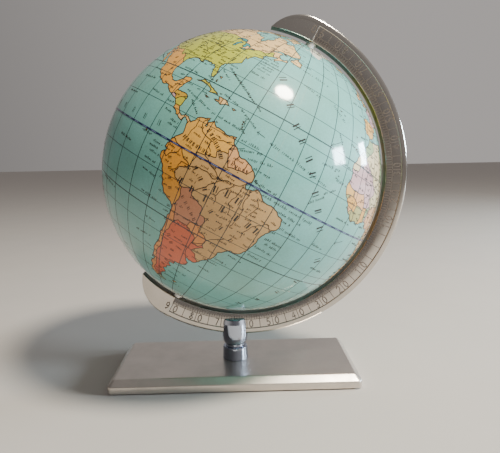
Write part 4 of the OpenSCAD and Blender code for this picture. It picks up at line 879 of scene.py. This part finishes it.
# ---- materials of the stand, and of the parts inside the ball ----
def metal(name, color, rough, grain, stretch=(1, 1, 1), wear=0.12, depth=0.00001, **sockets):
    """Metal with fine grain across the stretch, and faint smears in its polish."""
    m = Mat(name, color, metal=1.0, **sockets)
    smear = m.noise(0.012, 4.0, 0.6)
    m.rough(m.spread(smear, rough, rough + wear))
    m.base(m.blend(m.spread(smear, 0.0, 0.3), srgb(*color), srgb(*[int(c * 0.82) for c in color])))
    return m.bump(m.noise(grain, 2.0, 0.5, stretch), depth, 0.25)


def mottled(name, color, rough, shades, noise, amount=1.0, bump=None, **sockets):
    """A dull material, mottled between two shades. noise is size, detail, roughness and stretch."""
    m = Mat(name, color, rough=rough, **sockets)
    cloud = m.noise(*noise)
    m.base(m.blend(m.spread(cloud, 0.0, amount), srgb(*shades[0]), srgb(*shades[1])))
    return m.bump(cloud, *bump) if bump else m


SATIN = metal(
    "satin_aluminium", (226, 216, 207), 0.3, 0.0006, (1, 8, 8), 0.14, Coat_Weight=1.0, Coat_Roughness=0.06
)
ARM = metal("arm_aluminium", (204, 198, 191), 0.07, 0.0009, wear=0.13)
NICKEL = metal("nickel", (244, 242, 238), 0.5, 0.0005, wear=0.1)
# darker than the arm: painted shade for the rim in the gap next to the ball
ARM_INSIDE_SHADE = metal("arm_inside_painted_shade", (122, 120, 114), 0.5, 0.0006, wear=0.1)
# chrome tinted darker and bluish: a painted reflection of a dark, bluish room
CHROME_BLUE_REFLECTION = metal("chrome_painted_reflection", (182, 190, 208), 0.03, 0.004, wear=0.05, depth=0.000004)
STEEL = metal("steel", (150, 150, 150), 0.25, 0.0005, (1, 1, 6))
BRASS = metal("brass", (206, 166, 92), 0.2, 0.0007, (1, 1, 6))
MARK = mottled("scale_mark", (92, 82, 76), 0.5, ((84, 74, 68), (118, 106, 98)), (0.0008,), 0.6)
WOOD = mottled(
    "turned_wood", (170, 120, 74), 0.6, ((186, 138, 88), (132, 88, 50)),
    (0.002, 4, 0.6, (1, 1, 0.08)), bump=(0.00005, 0.4),
)
BOARD = mottled(
    "pressed_board", (160, 134, 98), 0.9, ((176, 150, 112), (126, 102, 72)),
    (0.0012, 5, 0.7), bump=(0.0001, 0.5),
)
FELT = mottled(
    "felt", (30, 46, 38), 1.0, ((24, 36, 30), (44, 62, 52)),
    (0.0004, 5, 0.8), bump=(0.0002, 0.8), Sheen_Weight=0.6, Sheen_Roughness=0.5,
)
for material, nodes in (
    (BOARD, ("shell_north", "shell_south", "joint_band")),
    (WOOD, ("core_strut",)),
    (BRASS, ("pole_bush_north", "pole_bush_south")),
    (STEEL, ("stem_screw", "stem_washer", "arm_grub_screw")),
    (CHROME_BLUE_REFLECTION, ("stem_collar", "fork_stem")),
    (NICKEL, ("pole_screw_north", "pole_screw_south", "pole_spacer_north", "pole_spacer_south")),
    (FELT, ("base_felt",)),
):
    for node in nodes:
        data = frame["nodes"][node].data
        data.materials.clear()
        data.materials.append(material.m)


# ---- the arm: one section swept round, with a sunk scale and a rounded rim ----
arm_co = np.array([v.co for v in frame["nodes"]["meridian_arm"].data.vertices]) - MIDDLE
arm_r = np.hypot(arm_co @ BALL[:, 0], arm_co @ BALL[:, 2])
ARM_IN, ARM_OUT, ARM_HALF = arm_r[arm_r > RADIUS + 3 * MM].min(), arm_r.max(), np.abs(arm_co[:, 1]).max()
# the part's own curve of the arm's ends: its radius, and the angle past the pole where it starts
END_R, END_START = 21.4 * MM, 2.0
END_CENTRE = ARM_OUT - END_R
# distance out from the inner edge, and depth below the face, in millimetres
SUNK = 0.15
SECTION = [
    (0, 1.0), (0.08, 0.6), (0.26, 0.3), (0.6, SUNK), (8.95, SUNK), (9.15, 0.02), (9.35, 0),
    (11.0, 0), (11.5, 0.08), (11.9, 0.32), (12.12, 0.8), (12.2, 1.5),
]
# the sunk floor ends this many degrees past the poles
FLOOR_END = 0.35


def arm_reach(angle):
    """Outer radius of the arm at an angle from the north pole: it curves in past each pole."""
    past = -angle if angle < 0 else angle - 180 if angle > 180 else 0
    if past <= END_START:
        return ARM_OUT
    d = math.radians(past - END_START)
    return END_CENTRE * math.cos(d) + math.sqrt(max(END_R**2 - (END_CENTRE * math.sin(d)) ** 2, 0))


def arm_ring(angle):
    """The section at an angle, thinned where the arm narrows."""
    squeeze = (max(arm_reach(angle), ARM_IN + 0.35 * MM) - ARM_IN) / (ARM_OUT - ARM_IN)
    sunk = -FLOOR_END < angle < 180 + FLOOR_END
    half = []
    for out, depth in SECTION:
        deep = depth * MM * max(squeeze, 0.25) if sunk or not 0.5 < out < 9.1 else 0
        half.append((ARM_IN + out * MM * squeeze, ARM_HALF - deep))
    around = [(r, -y) for r, y in half] + [(r, y) for r, y in reversed(half)]
    return on_arm([angle] * len(around), [r for r, _ in around], [y for _, y in around])


tip = math.degrees(math.acos((ARM_IN**2 + END_CENTRE**2 - END_R**2) / (2 * ARM_IN * END_CENTRE))) + END_START
# closest together at the tip, where the outline falls fastest, with one on each side of the floor's end
END_COUNT = 14
end_stations = [-tip * (1 - (k / END_COUNT) ** 1.5) for k in range(END_COUNT)] + [-0.42, -0.32]
stations = end_stations + [1.5 * k for k in range(121)] + [180 - s for s in reversed(end_stations)]
rings = [arm_ring(s) for s in stations]
arm = add(
    "graduated_arm", np.vstack(rings), [f[::-1] for f in tube(rings)],
    "stand", ARM, ["meridian_arm"], smooth=28,
).data
# the rim that faces the ball gets a rougher metal whose darker colour is painted shade of the narrow gap
# between arm and ball
arm.materials.append(ARM_INSIDE_SHADE.m)
for f in arm.polygons:
    place = (np.array(f.center) - MIDDLE) @ BALL
    f.material_index = int(np.hypot(place[0], place[2]) < ARM_IN + 0.2 * MM)

# ---- the scale: ticks, cell lines and figures on both faces ----
# each figure is one stroke in a box of 1 by 1
DIGITS = {
    "0": "0.5 0, 0.16 0.2, 0.1 0.5, 0.16 0.8, 0.5 1, 0.84 0.8, 0.9 0.5, 0.84 0.2, 0.5 0",
    "1": "0.25 0.76, 0.55 1, 0.55 0",
    "2": "0.12 0.78, 0.3 0.96, 0.65 0.98, 0.86 0.76, 0.74 0.5, 0.12 0, 0.9 0",
    "3": "0.14 0.9, 0.5 1, 0.82 0.8, 0.7 0.56, 0.42 0.52, 0.78 0.44, 0.88 0.2, 0.5 0, 0.12 0.12",
    "4": "0.66 0, 0.66 1, 0.1 0.3, 0.92 0.3",
    "5": "0.84 1, 0.24 1, 0.18 0.56, 0.55 0.62, 0.86 0.4, 0.76 0.1, 0.45 0, 0.12 0.12",
    "6": "0.8 0.9, 0.5 1, 0.2 0.7, 0.14 0.3, 0.45 0, 0.82 0.16, 0.82 0.46, 0.5 0.58, 0.16 0.36",
    "7": "0.12 1, 0.88 1, 0.4 0",
    "8": "0.5 0.54, 0.2 0.74, 0.5 1, 0.8 0.74, 0.5 0.54, 0.12 0.24, 0.5 0, 0.88 0.24, 0.5 0.54",
    "9": "0.2 0.1, 0.5 0, 0.8 0.3, 0.86 0.7, 0.55 1, 0.18 0.84, 0.18 0.54, 0.5 0.42, 0.84 0.64",
}
# all in millimetres, and measured out from the inner edge
FIGURE_H, FIGURE_W, FIGURE_GAP = 4.1, 2.3, 2.6
TICK_IN, TICK_OUT, CELL_IN, CELL_OUT = 0.75, 3.4, 3.75, 8.8
MARK_TOP, MARK_FOOT = 0.03, -0.12
scale = Relief()


def arm_mark(points, width, side):
    """A line on one face: points are (degrees from the north pole, millimetres out)."""
    fine = [points[0]]
    for a, b in zip(points, points[1:]):
        fine += between(a, b, max(1, math.ceil(abs(b[0] - a[0]) / 1.5)))
    sunk = all(-0.3 <= a <= 180.3 for a, _ in points)
    y = side * (ARM_HALF - (SUNK * MM if sunk else 0))
    p = on_arm([a for a, _ in fine], [ARM_IN + r * MM for _, r in fine], y)
    scale.strip(p, np.tile([0.0, side, 0.0], (len(p), 1)), width * MM, MARK_TOP * MM, MARK_FOOT * MM)


def figure(char, angle, slot, side):
    """One figure beside the line at an angle, with its head to the ball."""
    per_mm = math.degrees(MM / (ARM_IN + 6 * MM))
    pts = []
    for x, h in [numbers(p) for p in DIGITS[char].split(",")]:
        across = slot * (FIGURE_GAP + FIGURE_W) / 2 + (x - 0.5) * FIGURE_W
        pts.append((angle + across * per_mm * side, CELL_OUT - 0.4 - h * FIGURE_H))
    arm_mark(pts, 0.52, side)


for side in (-1, 1):
    for r in (CELL_IN, CELL_OUT):
        arm_mark([(0, r), (180, r)], 0.28, side)
    for a in range(181):
        full = a % 5 == 0
        arm_mark([(a, TICK_IN), (a, CELL_OUT if full else TICK_OUT)], 0.34 if full else 0.26, side)
    for a in range(0, 181, 10):
        # the nought of the equator isn't marked
        for char, slot in zip(str(abs(90 - a)) if a != 90 else "", (-1, 1)):
            figure(char, a, slot, side)
scale.piece("arm_scale", "stand", MARK, "arm_metal")

# ---- the base plate: rings of a round-cornered outline, stacked with soft edges ----
lo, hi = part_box("base_plate")
CORNER, CORNER_MIN, CORNER_STEPS = 3.0 * MM, 0.6 * MM, 6
# inset from the sides, and height over the foot, in millimetres
PLATE = [
    (0.9, 0), (0.6, 0), (0.15, 0.2), (0, 0.6), (0, 3.7), (0.06, 3.9), (0.2, 4.08), (0.4, 4.27),
    (3.1, 6.62), (3.35, 6.82), (3.65, 6.95), (4.0, 7.0), (4.6, 7.0),
]


def plate_ring(inset, z):
    """Round-cornered rectangle, inset from the plate's sides, at height z."""
    w, d, r = (hi.x - lo.x) / 2 - inset, (hi.y - lo.y) / 2 - inset, max(CORNER - inset * 0.6, CORNER_MIN)
    pts = []
    for k, (sx, sy) in enumerate(((1, 1), (-1, 1), (-1, -1), (1, -1))):
        for s in range(CORNER_STEPS + 1):
            a = math.pi / 2 * (k + s / CORNER_STEPS)
            pts.append((sx * (w - r) + r * math.cos(a), sy * (d - r) + r * math.sin(a), z))
    return pts


rings = [plate_ring(inset * MM, lo.z + height * MM) for inset, height in PLATE]
add("plate", np.vstack(rings), tube(rings), "stand", SATIN, ["base_plate"], smooth=35)


# ---- names on the map: groups of plain upright strokes that only look like print from afar ----
NAMES, NOTES, TOWNS = Relief(), Relief(), Relief()
TAKEN = []
# rows of 'height weight seed: places', parted by bars: one large mark stands at each place
LARGE = """
3.4 0.62 1: -57.5 37.5, -50 29, -45 23.5, -41 20, -36.5 16, -33 12, -29 7, -25 2.5, -20.5 -2.5, -12 -13 |
2.6 0.32 2: -120 3, -111.5 3, -103 3, -95 3, -87.5 3.3 |
2.6 0.32 12: -140 31, -132 30, -124 29 |
2.9 0.62 3: -59 -6.5, -55 -6.1, -51 -6.5 |
2.9 0.62 4: -71 -9.5, -66 -10.2, -60.5 -10.8, -54.5 -11.2, -49.5 -11.6, -44.5 -12, -40.8 -12.6 |
2.1 0.44 5: -68 -3.6, -65 -5.8, -62.3 -8, -57.3 -13.6, -52 -17, -46.8 -19.5 |
1.7 0.4 6: -69.8 8.6, -68.4 7.9, -67.2 7.1, -66 6.3, -64.9 5.5, -63.9 4.7, -63 3.9, -62.2 3 |
1.55 0.38 7: -76 3.4, -74.7 3.0, -73.4 2.8, -72.1 2.6, -70.8 2.5, -69.5 2.4, -68.2 2.3, -67 2.2, -65.8 2.0 |
1.5 0.3 8: -59.4 3.1, -58 2.9, -56.7 2.7, -55.4 2.6, -54.1 2.7, -52.9 2.9 |
1.5 0.28 9: -67.8 -14, -66 -15.2, -64.4 -16.4, -62.8 -17.6, -61.2 -18.8, -59.8 -20 |
1.6 0.3 10: -71.5 -19, -71 -24, -71.2 -29, -71.6 -34, -72.6 -39 |
1.8 0.32 11: -68 -29, -66.2 -31.6, -64.8 -34.4, -65 -37.5, -66.4 -40.6, -67.8 -43.8, -69.4 -47 |
2.6 0.4 13: -118 38.5, -110 38.3, -102 38, -94 37.4, -86 36.2, -80 35.4 |
2.4 0.36 14: -112 59, -101 60, -90 60.5, -78 55.5, -71 53 |
1.6 0.28 15: -104 27, -101.6 24.6, -99.6 22, -98 19.4 |
1.7 0.3 16: -77.5 -4.6, -76 -7.6, -74.6 -10.6, -73.2 -13.4 |
2.6 0.4 17: -11 28, -4 26.5, 3 25, 10 24, 17 23, 24 22 |
1.8 0.3 18: -12 13.2, -6 12.6, 0 12.4, 6 12.4, 12 12.6 |
2.8 0.44 19: 40 58, 56 60, 74 61, 92 62, 110 61.5 |
2.2 0.36 20: 74 24, 77 20.5, 79 16 |
2.4 0.38 21: 86 37, 96 35.5, 106 34, 114 31 |
2.6 0.4 22: 18 6, 21 0, 23 -6, 24 -12, 24 -18, 23 -24 |
2.8 0.44 23: 122 -24, 129 -24.6, 136 -25, 143 -25.4 |
3.2 0.52 24: 60 -6, 68 -12, 75 -18, 81 -25, 86 -32 |
2.0 0.32 25: -40 76, -41 72.5, -42 69, -44 65.6 |
3.2 0.5 26: -160 -20, -150 -23, -140 -26, -130 -28.5, -120 -31 |
3.0 0.48 27: 152 12, 160 14, 168 16, 176 18, 184 20, 192 22 |
3.0 0.5 28: -12 -24, -14 -32, -17 -40, -21 -47
"""
# rows of 'height weight seed: start > end; ...', parted by bars: a row of small print along each
SMALL = """
1.0 0.26 31: -70 43.3 > -61.5 43; -70 41.8 > -62 41.5; -69 40.4 > -61 40; -70 39.2 > -62.5 38.8;
    -70 37.9 > -63 37.5; -68.5 36.4 > -62.5 36 |
1.0 0.26 32: -70 34 > -63.5 33.7; -79 33 > -75 32.6; -77.5 31.6 > -58 22; -75 30.4 > -62 24;
    -79 29.6 > -74 27 |
1.15 0.26 33: -38 -3.5 > -28 -4.2; -35.5 -5.5 > -32 -5.8; -34.3 -8 > -25 -8.8; -36.8 -13.3 > -30 -13.8;
    -35.8 -15 > -30.5 -15.5; -38.3 -17.3 > -31 -18; -38.8 -21 > -33 -21.6; -44.5 -24.7 > -39 -25.4 |
1.15 0.26 34: -58 8 > -50.5 10.5; -54.5 6.8 > -46.5 8.3; -51.5 5 > -45.5 4.8; -59 11 > -53 11 |
1.35 0.24 35: -50.5 14.5 > -26.5 11; -45 -0.9 > -24 -2.2; -57 47 > -37 46; -48 40 > -39 38.5;
    -32 39 > -25 35; -31 17.3 > -23 18; -23 14.7 > -17 14.3 |
1.1 0.26 36: -30 3.5 > -25.5 7.5; -26 8.5 > -22 11.5; -50 1.6 > -41 0.9; -20 29 > -14 27; -27 30 > -23 24 |
1.0 0.26 37: -85 17.5 > -73 14.6; -72 14.3 > -61 13.5; -94 24.6 > -86 24.2; -93 21.5 > -90 22;
    -72 21.5 > -66 20.4; -64 19.6 > -57 16.4; -82 25.2 > -78 23.8; -81 15 > -76 11.4; -61 17.5 > -60 12.5 |
1.0 0.26 38: -84 6.3 > -80.5 6; -84.2 4.9 > -80 4.6; -86 -2.3 > -82 -2.5; -87 -3.9 > -82.4 -4.2;
    -86 -5.6 > -82 -5.9; -87 -8.3 > -82 -8.6; -93 -0.9 > -88 -1.2; -86 -12 > -79.5 -12.6;
    -84 -19 > -76 -19.6; -80 -27 > -74 -27.4; -84 -34.5 > -76 -34 |
1.1 0.26 39: -112 16 > -103 16.4; -110 20.4 > -104 20; -119 27 > -113 25; -125 36 > -121 35;
    -100 12.6 > -93 12; -116 9 > -108 9; -104 -6 > -96 -6.4; -112 -24 > -100 -25 |
1.1 0.26 40: -60 -39 > -54 -40; -62 -43 > -55 -44; -64 -46 > -58 -47; -66 -49.4 > -60 -50;
    -63 -53.6 > -56 -54; -52 -35 > -46 -35.6; -48 -28.4 > -43 -29 |
1.1 0.26 41: -20 -8 > -14 -8.6; -12 -16.4 > -4 -17; 2 -2 > 9 -2.6; 4 -9 > 12 -9.6; -16 3.6 > -8 3.2;
    -24 21 > -18 20.6; -14 34 > -8 35; -18 47 > -8 47.6; -30 58 > -18 58.6; -40 57 > -32 55
"""


def table(text):
    """The numbers before the colon, and the text after it, of each part between bars."""
    for part in text.split("|"):
        head, rest = part.split(":")
        yield numbers(head), rest


def stroke(relief, foot, head, width, top):
    """A straight stroke, laid on the ball: one longer than 1.5 mm has a middle point to bend at."""
    tall = np.linalg.norm(head - foot) > 1.5 * MM
    p = np.array([foot, (foot + head) / 2, head] if tall else [foot, head]) - MIDDLE
    n = p / np.linalg.norm(p, axis=1, keepdims=True)
    relief.strip(MIDDLE + n * RADIUS, n, width * MM, top * MM, INK_FOOT * MM)


def frame_at(a, b):
    """World point of a, the direction from a to b along the ball, and the upward direction of the print."""
    p, q = on_ball(*zip(a, b))
    n = (p - MIDDLE) / RADIUS
    d = q - p
    d -= n * (d @ n)
    d /= np.linalg.norm(d)
    return p, d, np.cross(n, d)


def mark(at, toward, height, weight, roll):
    """One large mark: a thick and a thin upright, sometimes leaning together."""
    p, d, up = frame_at(at, toward)
    lean = roll.choice((0, 0, 0.12, -0.12)) * height
    gap = roll.uniform(0.3, 0.48) * height
    first, second = (1.15, 0.6) if roll.random() < 0.5 else (0.6, 1.15)
    for x, w in ((-gap / 2, weight * first), (gap / 2, weight * second)):
        foot = p + (d * (x - lean / 2) - up * height / 2) * MM
        head = p + (d * (x + lean / 2) + up * height / 2) * MM
        stroke(NAMES, foot, head, w, -0.006)


def row(start, end, height, weight, seed):
    """A row of small print from start to end: words of uprights with uneven heights."""
    pitch, top = 0.62, -0.016
    roll = random.Random(seed)
    a, b = np.array(start, float), np.array(end, float)
    first, last = on_ball(*zip(a, b))
    span = np.linalg.norm(first - last) / MM
    x, word = 0.0, roll.randint(3, 8)
    while x < span:
        p, d, up = frame_at(a + (b - a) * x / span, a + (b - a) * (x + 0.3) / span)
        tall = height * (1.0 if roll.random() < 0.3 else 0.62)
        dip = height * (0.25 if roll.random() < 0.12 else 0.0)
        lean = d * 0.14 * height / 2
        foot, head = -lean - up * (height / 2 + dip), lean + up * (tall - height / 2)
        stroke(NOTES, p + foot * MM, p + head * MM, weight, top)
        if roll.random() < 0.35:
            q = p + d * height * 0.3 * MM
            stroke(NOTES, q - up * height / 2 * MM, q + up * height * 0.1 * MM, weight * 0.8, top)
            x += height * 0.28
        x += pitch * height * roll.uniform(0.75, 1.1)
        word -= 1
        if word == 0:
            x, word = x + height * 0.8, roll.randint(3, 8)
    TAKEN.extend([tuple(a + (b - a) * k / 4) for k in range(5)])


# a mark stands square to the way to the next place, and the last one goes on the same way
for (height, weight, seed), places in table(LARGE):
    roll = random.Random(int(seed))
    pts = [numbers(p) for p in places.split(",")]
    pts.append((2 * pts[-1][0] - pts[-2][0], 2 * pts[-1][1] - pts[-2][1]))
    for at, toward in zip(pts, pts[1:]):
        mark(at, toward, height, weight, roll)
    TAKEN += pts[:-1]
for (height, weight, seed), rows in table(SMALL):
    for k, ends in enumerate(rows.split(";")):
        start, end = [numbers(p) for p in ends.split(">")]
        row(start, end, height, weight, int(seed) * 100 + k)

# a scatter of place names over the land and round its shores, kept clear of each other
TRIES, TOWN_COUNT = 6500, 420
scatter = random.Random(77)
tries = np.array([
    (scatter.uniform(WEST, EAST), math.degrees(math.asin(scatter.uniform(-0.9, 0.95)))) for _ in range(TRIES)
])
dry = is_land(*tries.T) & ~is_lake(*tries.T)
near_shore = np.zeros(len(tries), bool)
for dx, dy in ((4, 0), (-4, 0), (0, 3), (0, -3)):
    near_shore |= is_land(tries[:, 0] + dx, tries[:, 1] + dy)
CELL = 5
cells = {}
for x, y in TAKEN:
    cells.setdefault((int(x // CELL), int(y // CELL)), []).append((x, y))
for (x, y), land, shore in zip(tries, dry, near_shore):
    # names stand closest between these coasts, as in the photograph
    crowd = -126 < x < -66 and 29 < y < 50
    room = (1.0 if crowd else 1.25) if land else 2.0 if shore else 9
    c = math.cos(math.radians(y))
    i, j = int(x // CELL), int(y // CELL)
    span = range(-2, 3) if room < CELL else range(-3, 4)
    close = any(
        abs(x - u) * c < room * 1.7 and abs(y - w) < room
        for di in span for dj in span for u, w in cells.get((i + di, j + dj), [])
    )
    if close or (not land and not shore and scatter.random() < 0.6):
        continue
    length = scatter.uniform(1.6, 3.4) if land else scatter.uniform(2.5, 4.5)
    lean = scatter.uniform(-0.25, 0.15)
    start, end = (x - length / 2 / c, y - lean), (x + length / 2 / c, y + lean)
    height = scatter.uniform(0.8, 1.05)
    row(start, end, height, 0.24, scatter.randrange(10**6))
    cells.setdefault((i, j), []).append((x, y))

# dots for towns, and a few arrows for the trade winds
for x, y in tries[dry][:TOWN_COUNT]:
    p, d, _ = frame_at((x, y), (x + 0.5, y))
    stroke(TOWNS, p - d * 0.2 * MM, p + d * 0.2 * MM, 0.38, -0.014)
for a, b in (
    ((-56, 15.5), (-53, 15)), ((-49.5, 2), (-46, 0)), ((-61, 6.5), (-57, 9)),
    ((-30, 24), (-26, 27)), ((-10, -5), (-6, -3)),
):
    ball_line(NOTES, [a, b], 0.22, -0.012)
    x, y = between(a, b, 4)[0]
    ball_line(NOTES, [(x, y + 0.6), a, (x, y - 0.6)], 0.2, -0.01)
TOWNS.piece("print_towns", "ball", BROWN, "map_paper")
NAMES.piece("print_names", "ball", INK, "map_paper")
NOTES.piece("print_notes", "ball", INK, "map_paper")


# ---- lights ----
def area(name, place, size, power, color, aim=CENTRE, tall=None):
    """A light panel that faces aim: round, or a rectangle where it has a height. place is relative to aim."""
    data = bpy.data.lights.new(name, "AREA")
    data.shape, data.size, data.energy, data.color = "RECTANGLE" if tall else "DISK", size, power, color
    if tall:
        data.size_y = tall
    ob = bpy.data.objects.new(name, data)
    bpy.context.scene.collection.objects.link(ob)
    ob.location = aim + place
    ob.rotation_euler = (-place).to_track_quat("-Z", "Y").to_euler()


area("key", Vector((0.449, -0.325, 0.832)).normalized(), 0.19, 18, (1.0, 0.93, 0.78))
# each window stands this far, in metres, from the spot on the ball where its glint lies
WINDOW_AWAY = 1.1
for name, spot, away, wide, tall, power in (
    ("window_a", (0.559, -0.82, 0.119), (0.973, -0.162, 0.165), 0.21, 0.19, 13.0),
    ("window_b", (0.736, -0.664, 0.128), (0.93, 0.348, 0.122), 0.16, 0.2, 8.0),
):
    place = Vector(away).normalized() * WINDOW_AWAY
    area(name, place, wide, power, (0.7, 0.88, 1.0), CENTRE + Vector(spot) * RADIUS, tall)

# ---- a plain studio, paler towards the right and the back ----
world = bpy.data.worlds.new("studio")
bpy.context.scene.world = world
world.use_nodes = True
nodes = world.node_tree.nodes
back, where = nodes["Background"], nodes.new("ShaderNodeTexCoord")
slope, ramp = nodes.new("ShaderNodeVectorMath"), nodes.new("ShaderNodeMapRange")
slope.operation = "DOT_PRODUCT"
slope.inputs[1].default_value = (0.65, 0.2, 0.15)
ramp.interpolation_type = "SMOOTHSTEP"
for key, value in (("From Min", -0.7), ("From Max", 0.45), ("To Min", 0.05), ("To Max", 0.42)):
    ramp.inputs[key].default_value = value
back.inputs["Color"].default_value = (1.0, 0.94, 0.91, 1.0)
for output, socket in (
    (where.outputs["Generated"], slope.inputs[0]),
    (slope.outputs["Value"], ramp.inputs["Value"]),
    (ramp.outputs["Result"], back.inputs["Strength"]),
):
    world.node_tree.links.new(output, socket)

# ---- floor ----
FLOOR = mottled("floor", (214, 208, 202), 0.85, ((194, 187, 181), (182, 176, 170)), (0.05, 4), 0.25)
SIDE = 6.0
mesh = bpy.data.meshes.new("floor")
mesh.from_pydata([(-SIDE, -SIDE, 0), (SIDE, -SIDE, 0), (SIDE, SIDE, 0), (-SIDE, SIDE, 0)], [], [(0, 1, 2, 3)])
mesh.materials.append(FLOOR.m)
floor = bpy.data.objects.new("floor", mesh)
bpy.context.scene.collection.objects.link(floor)
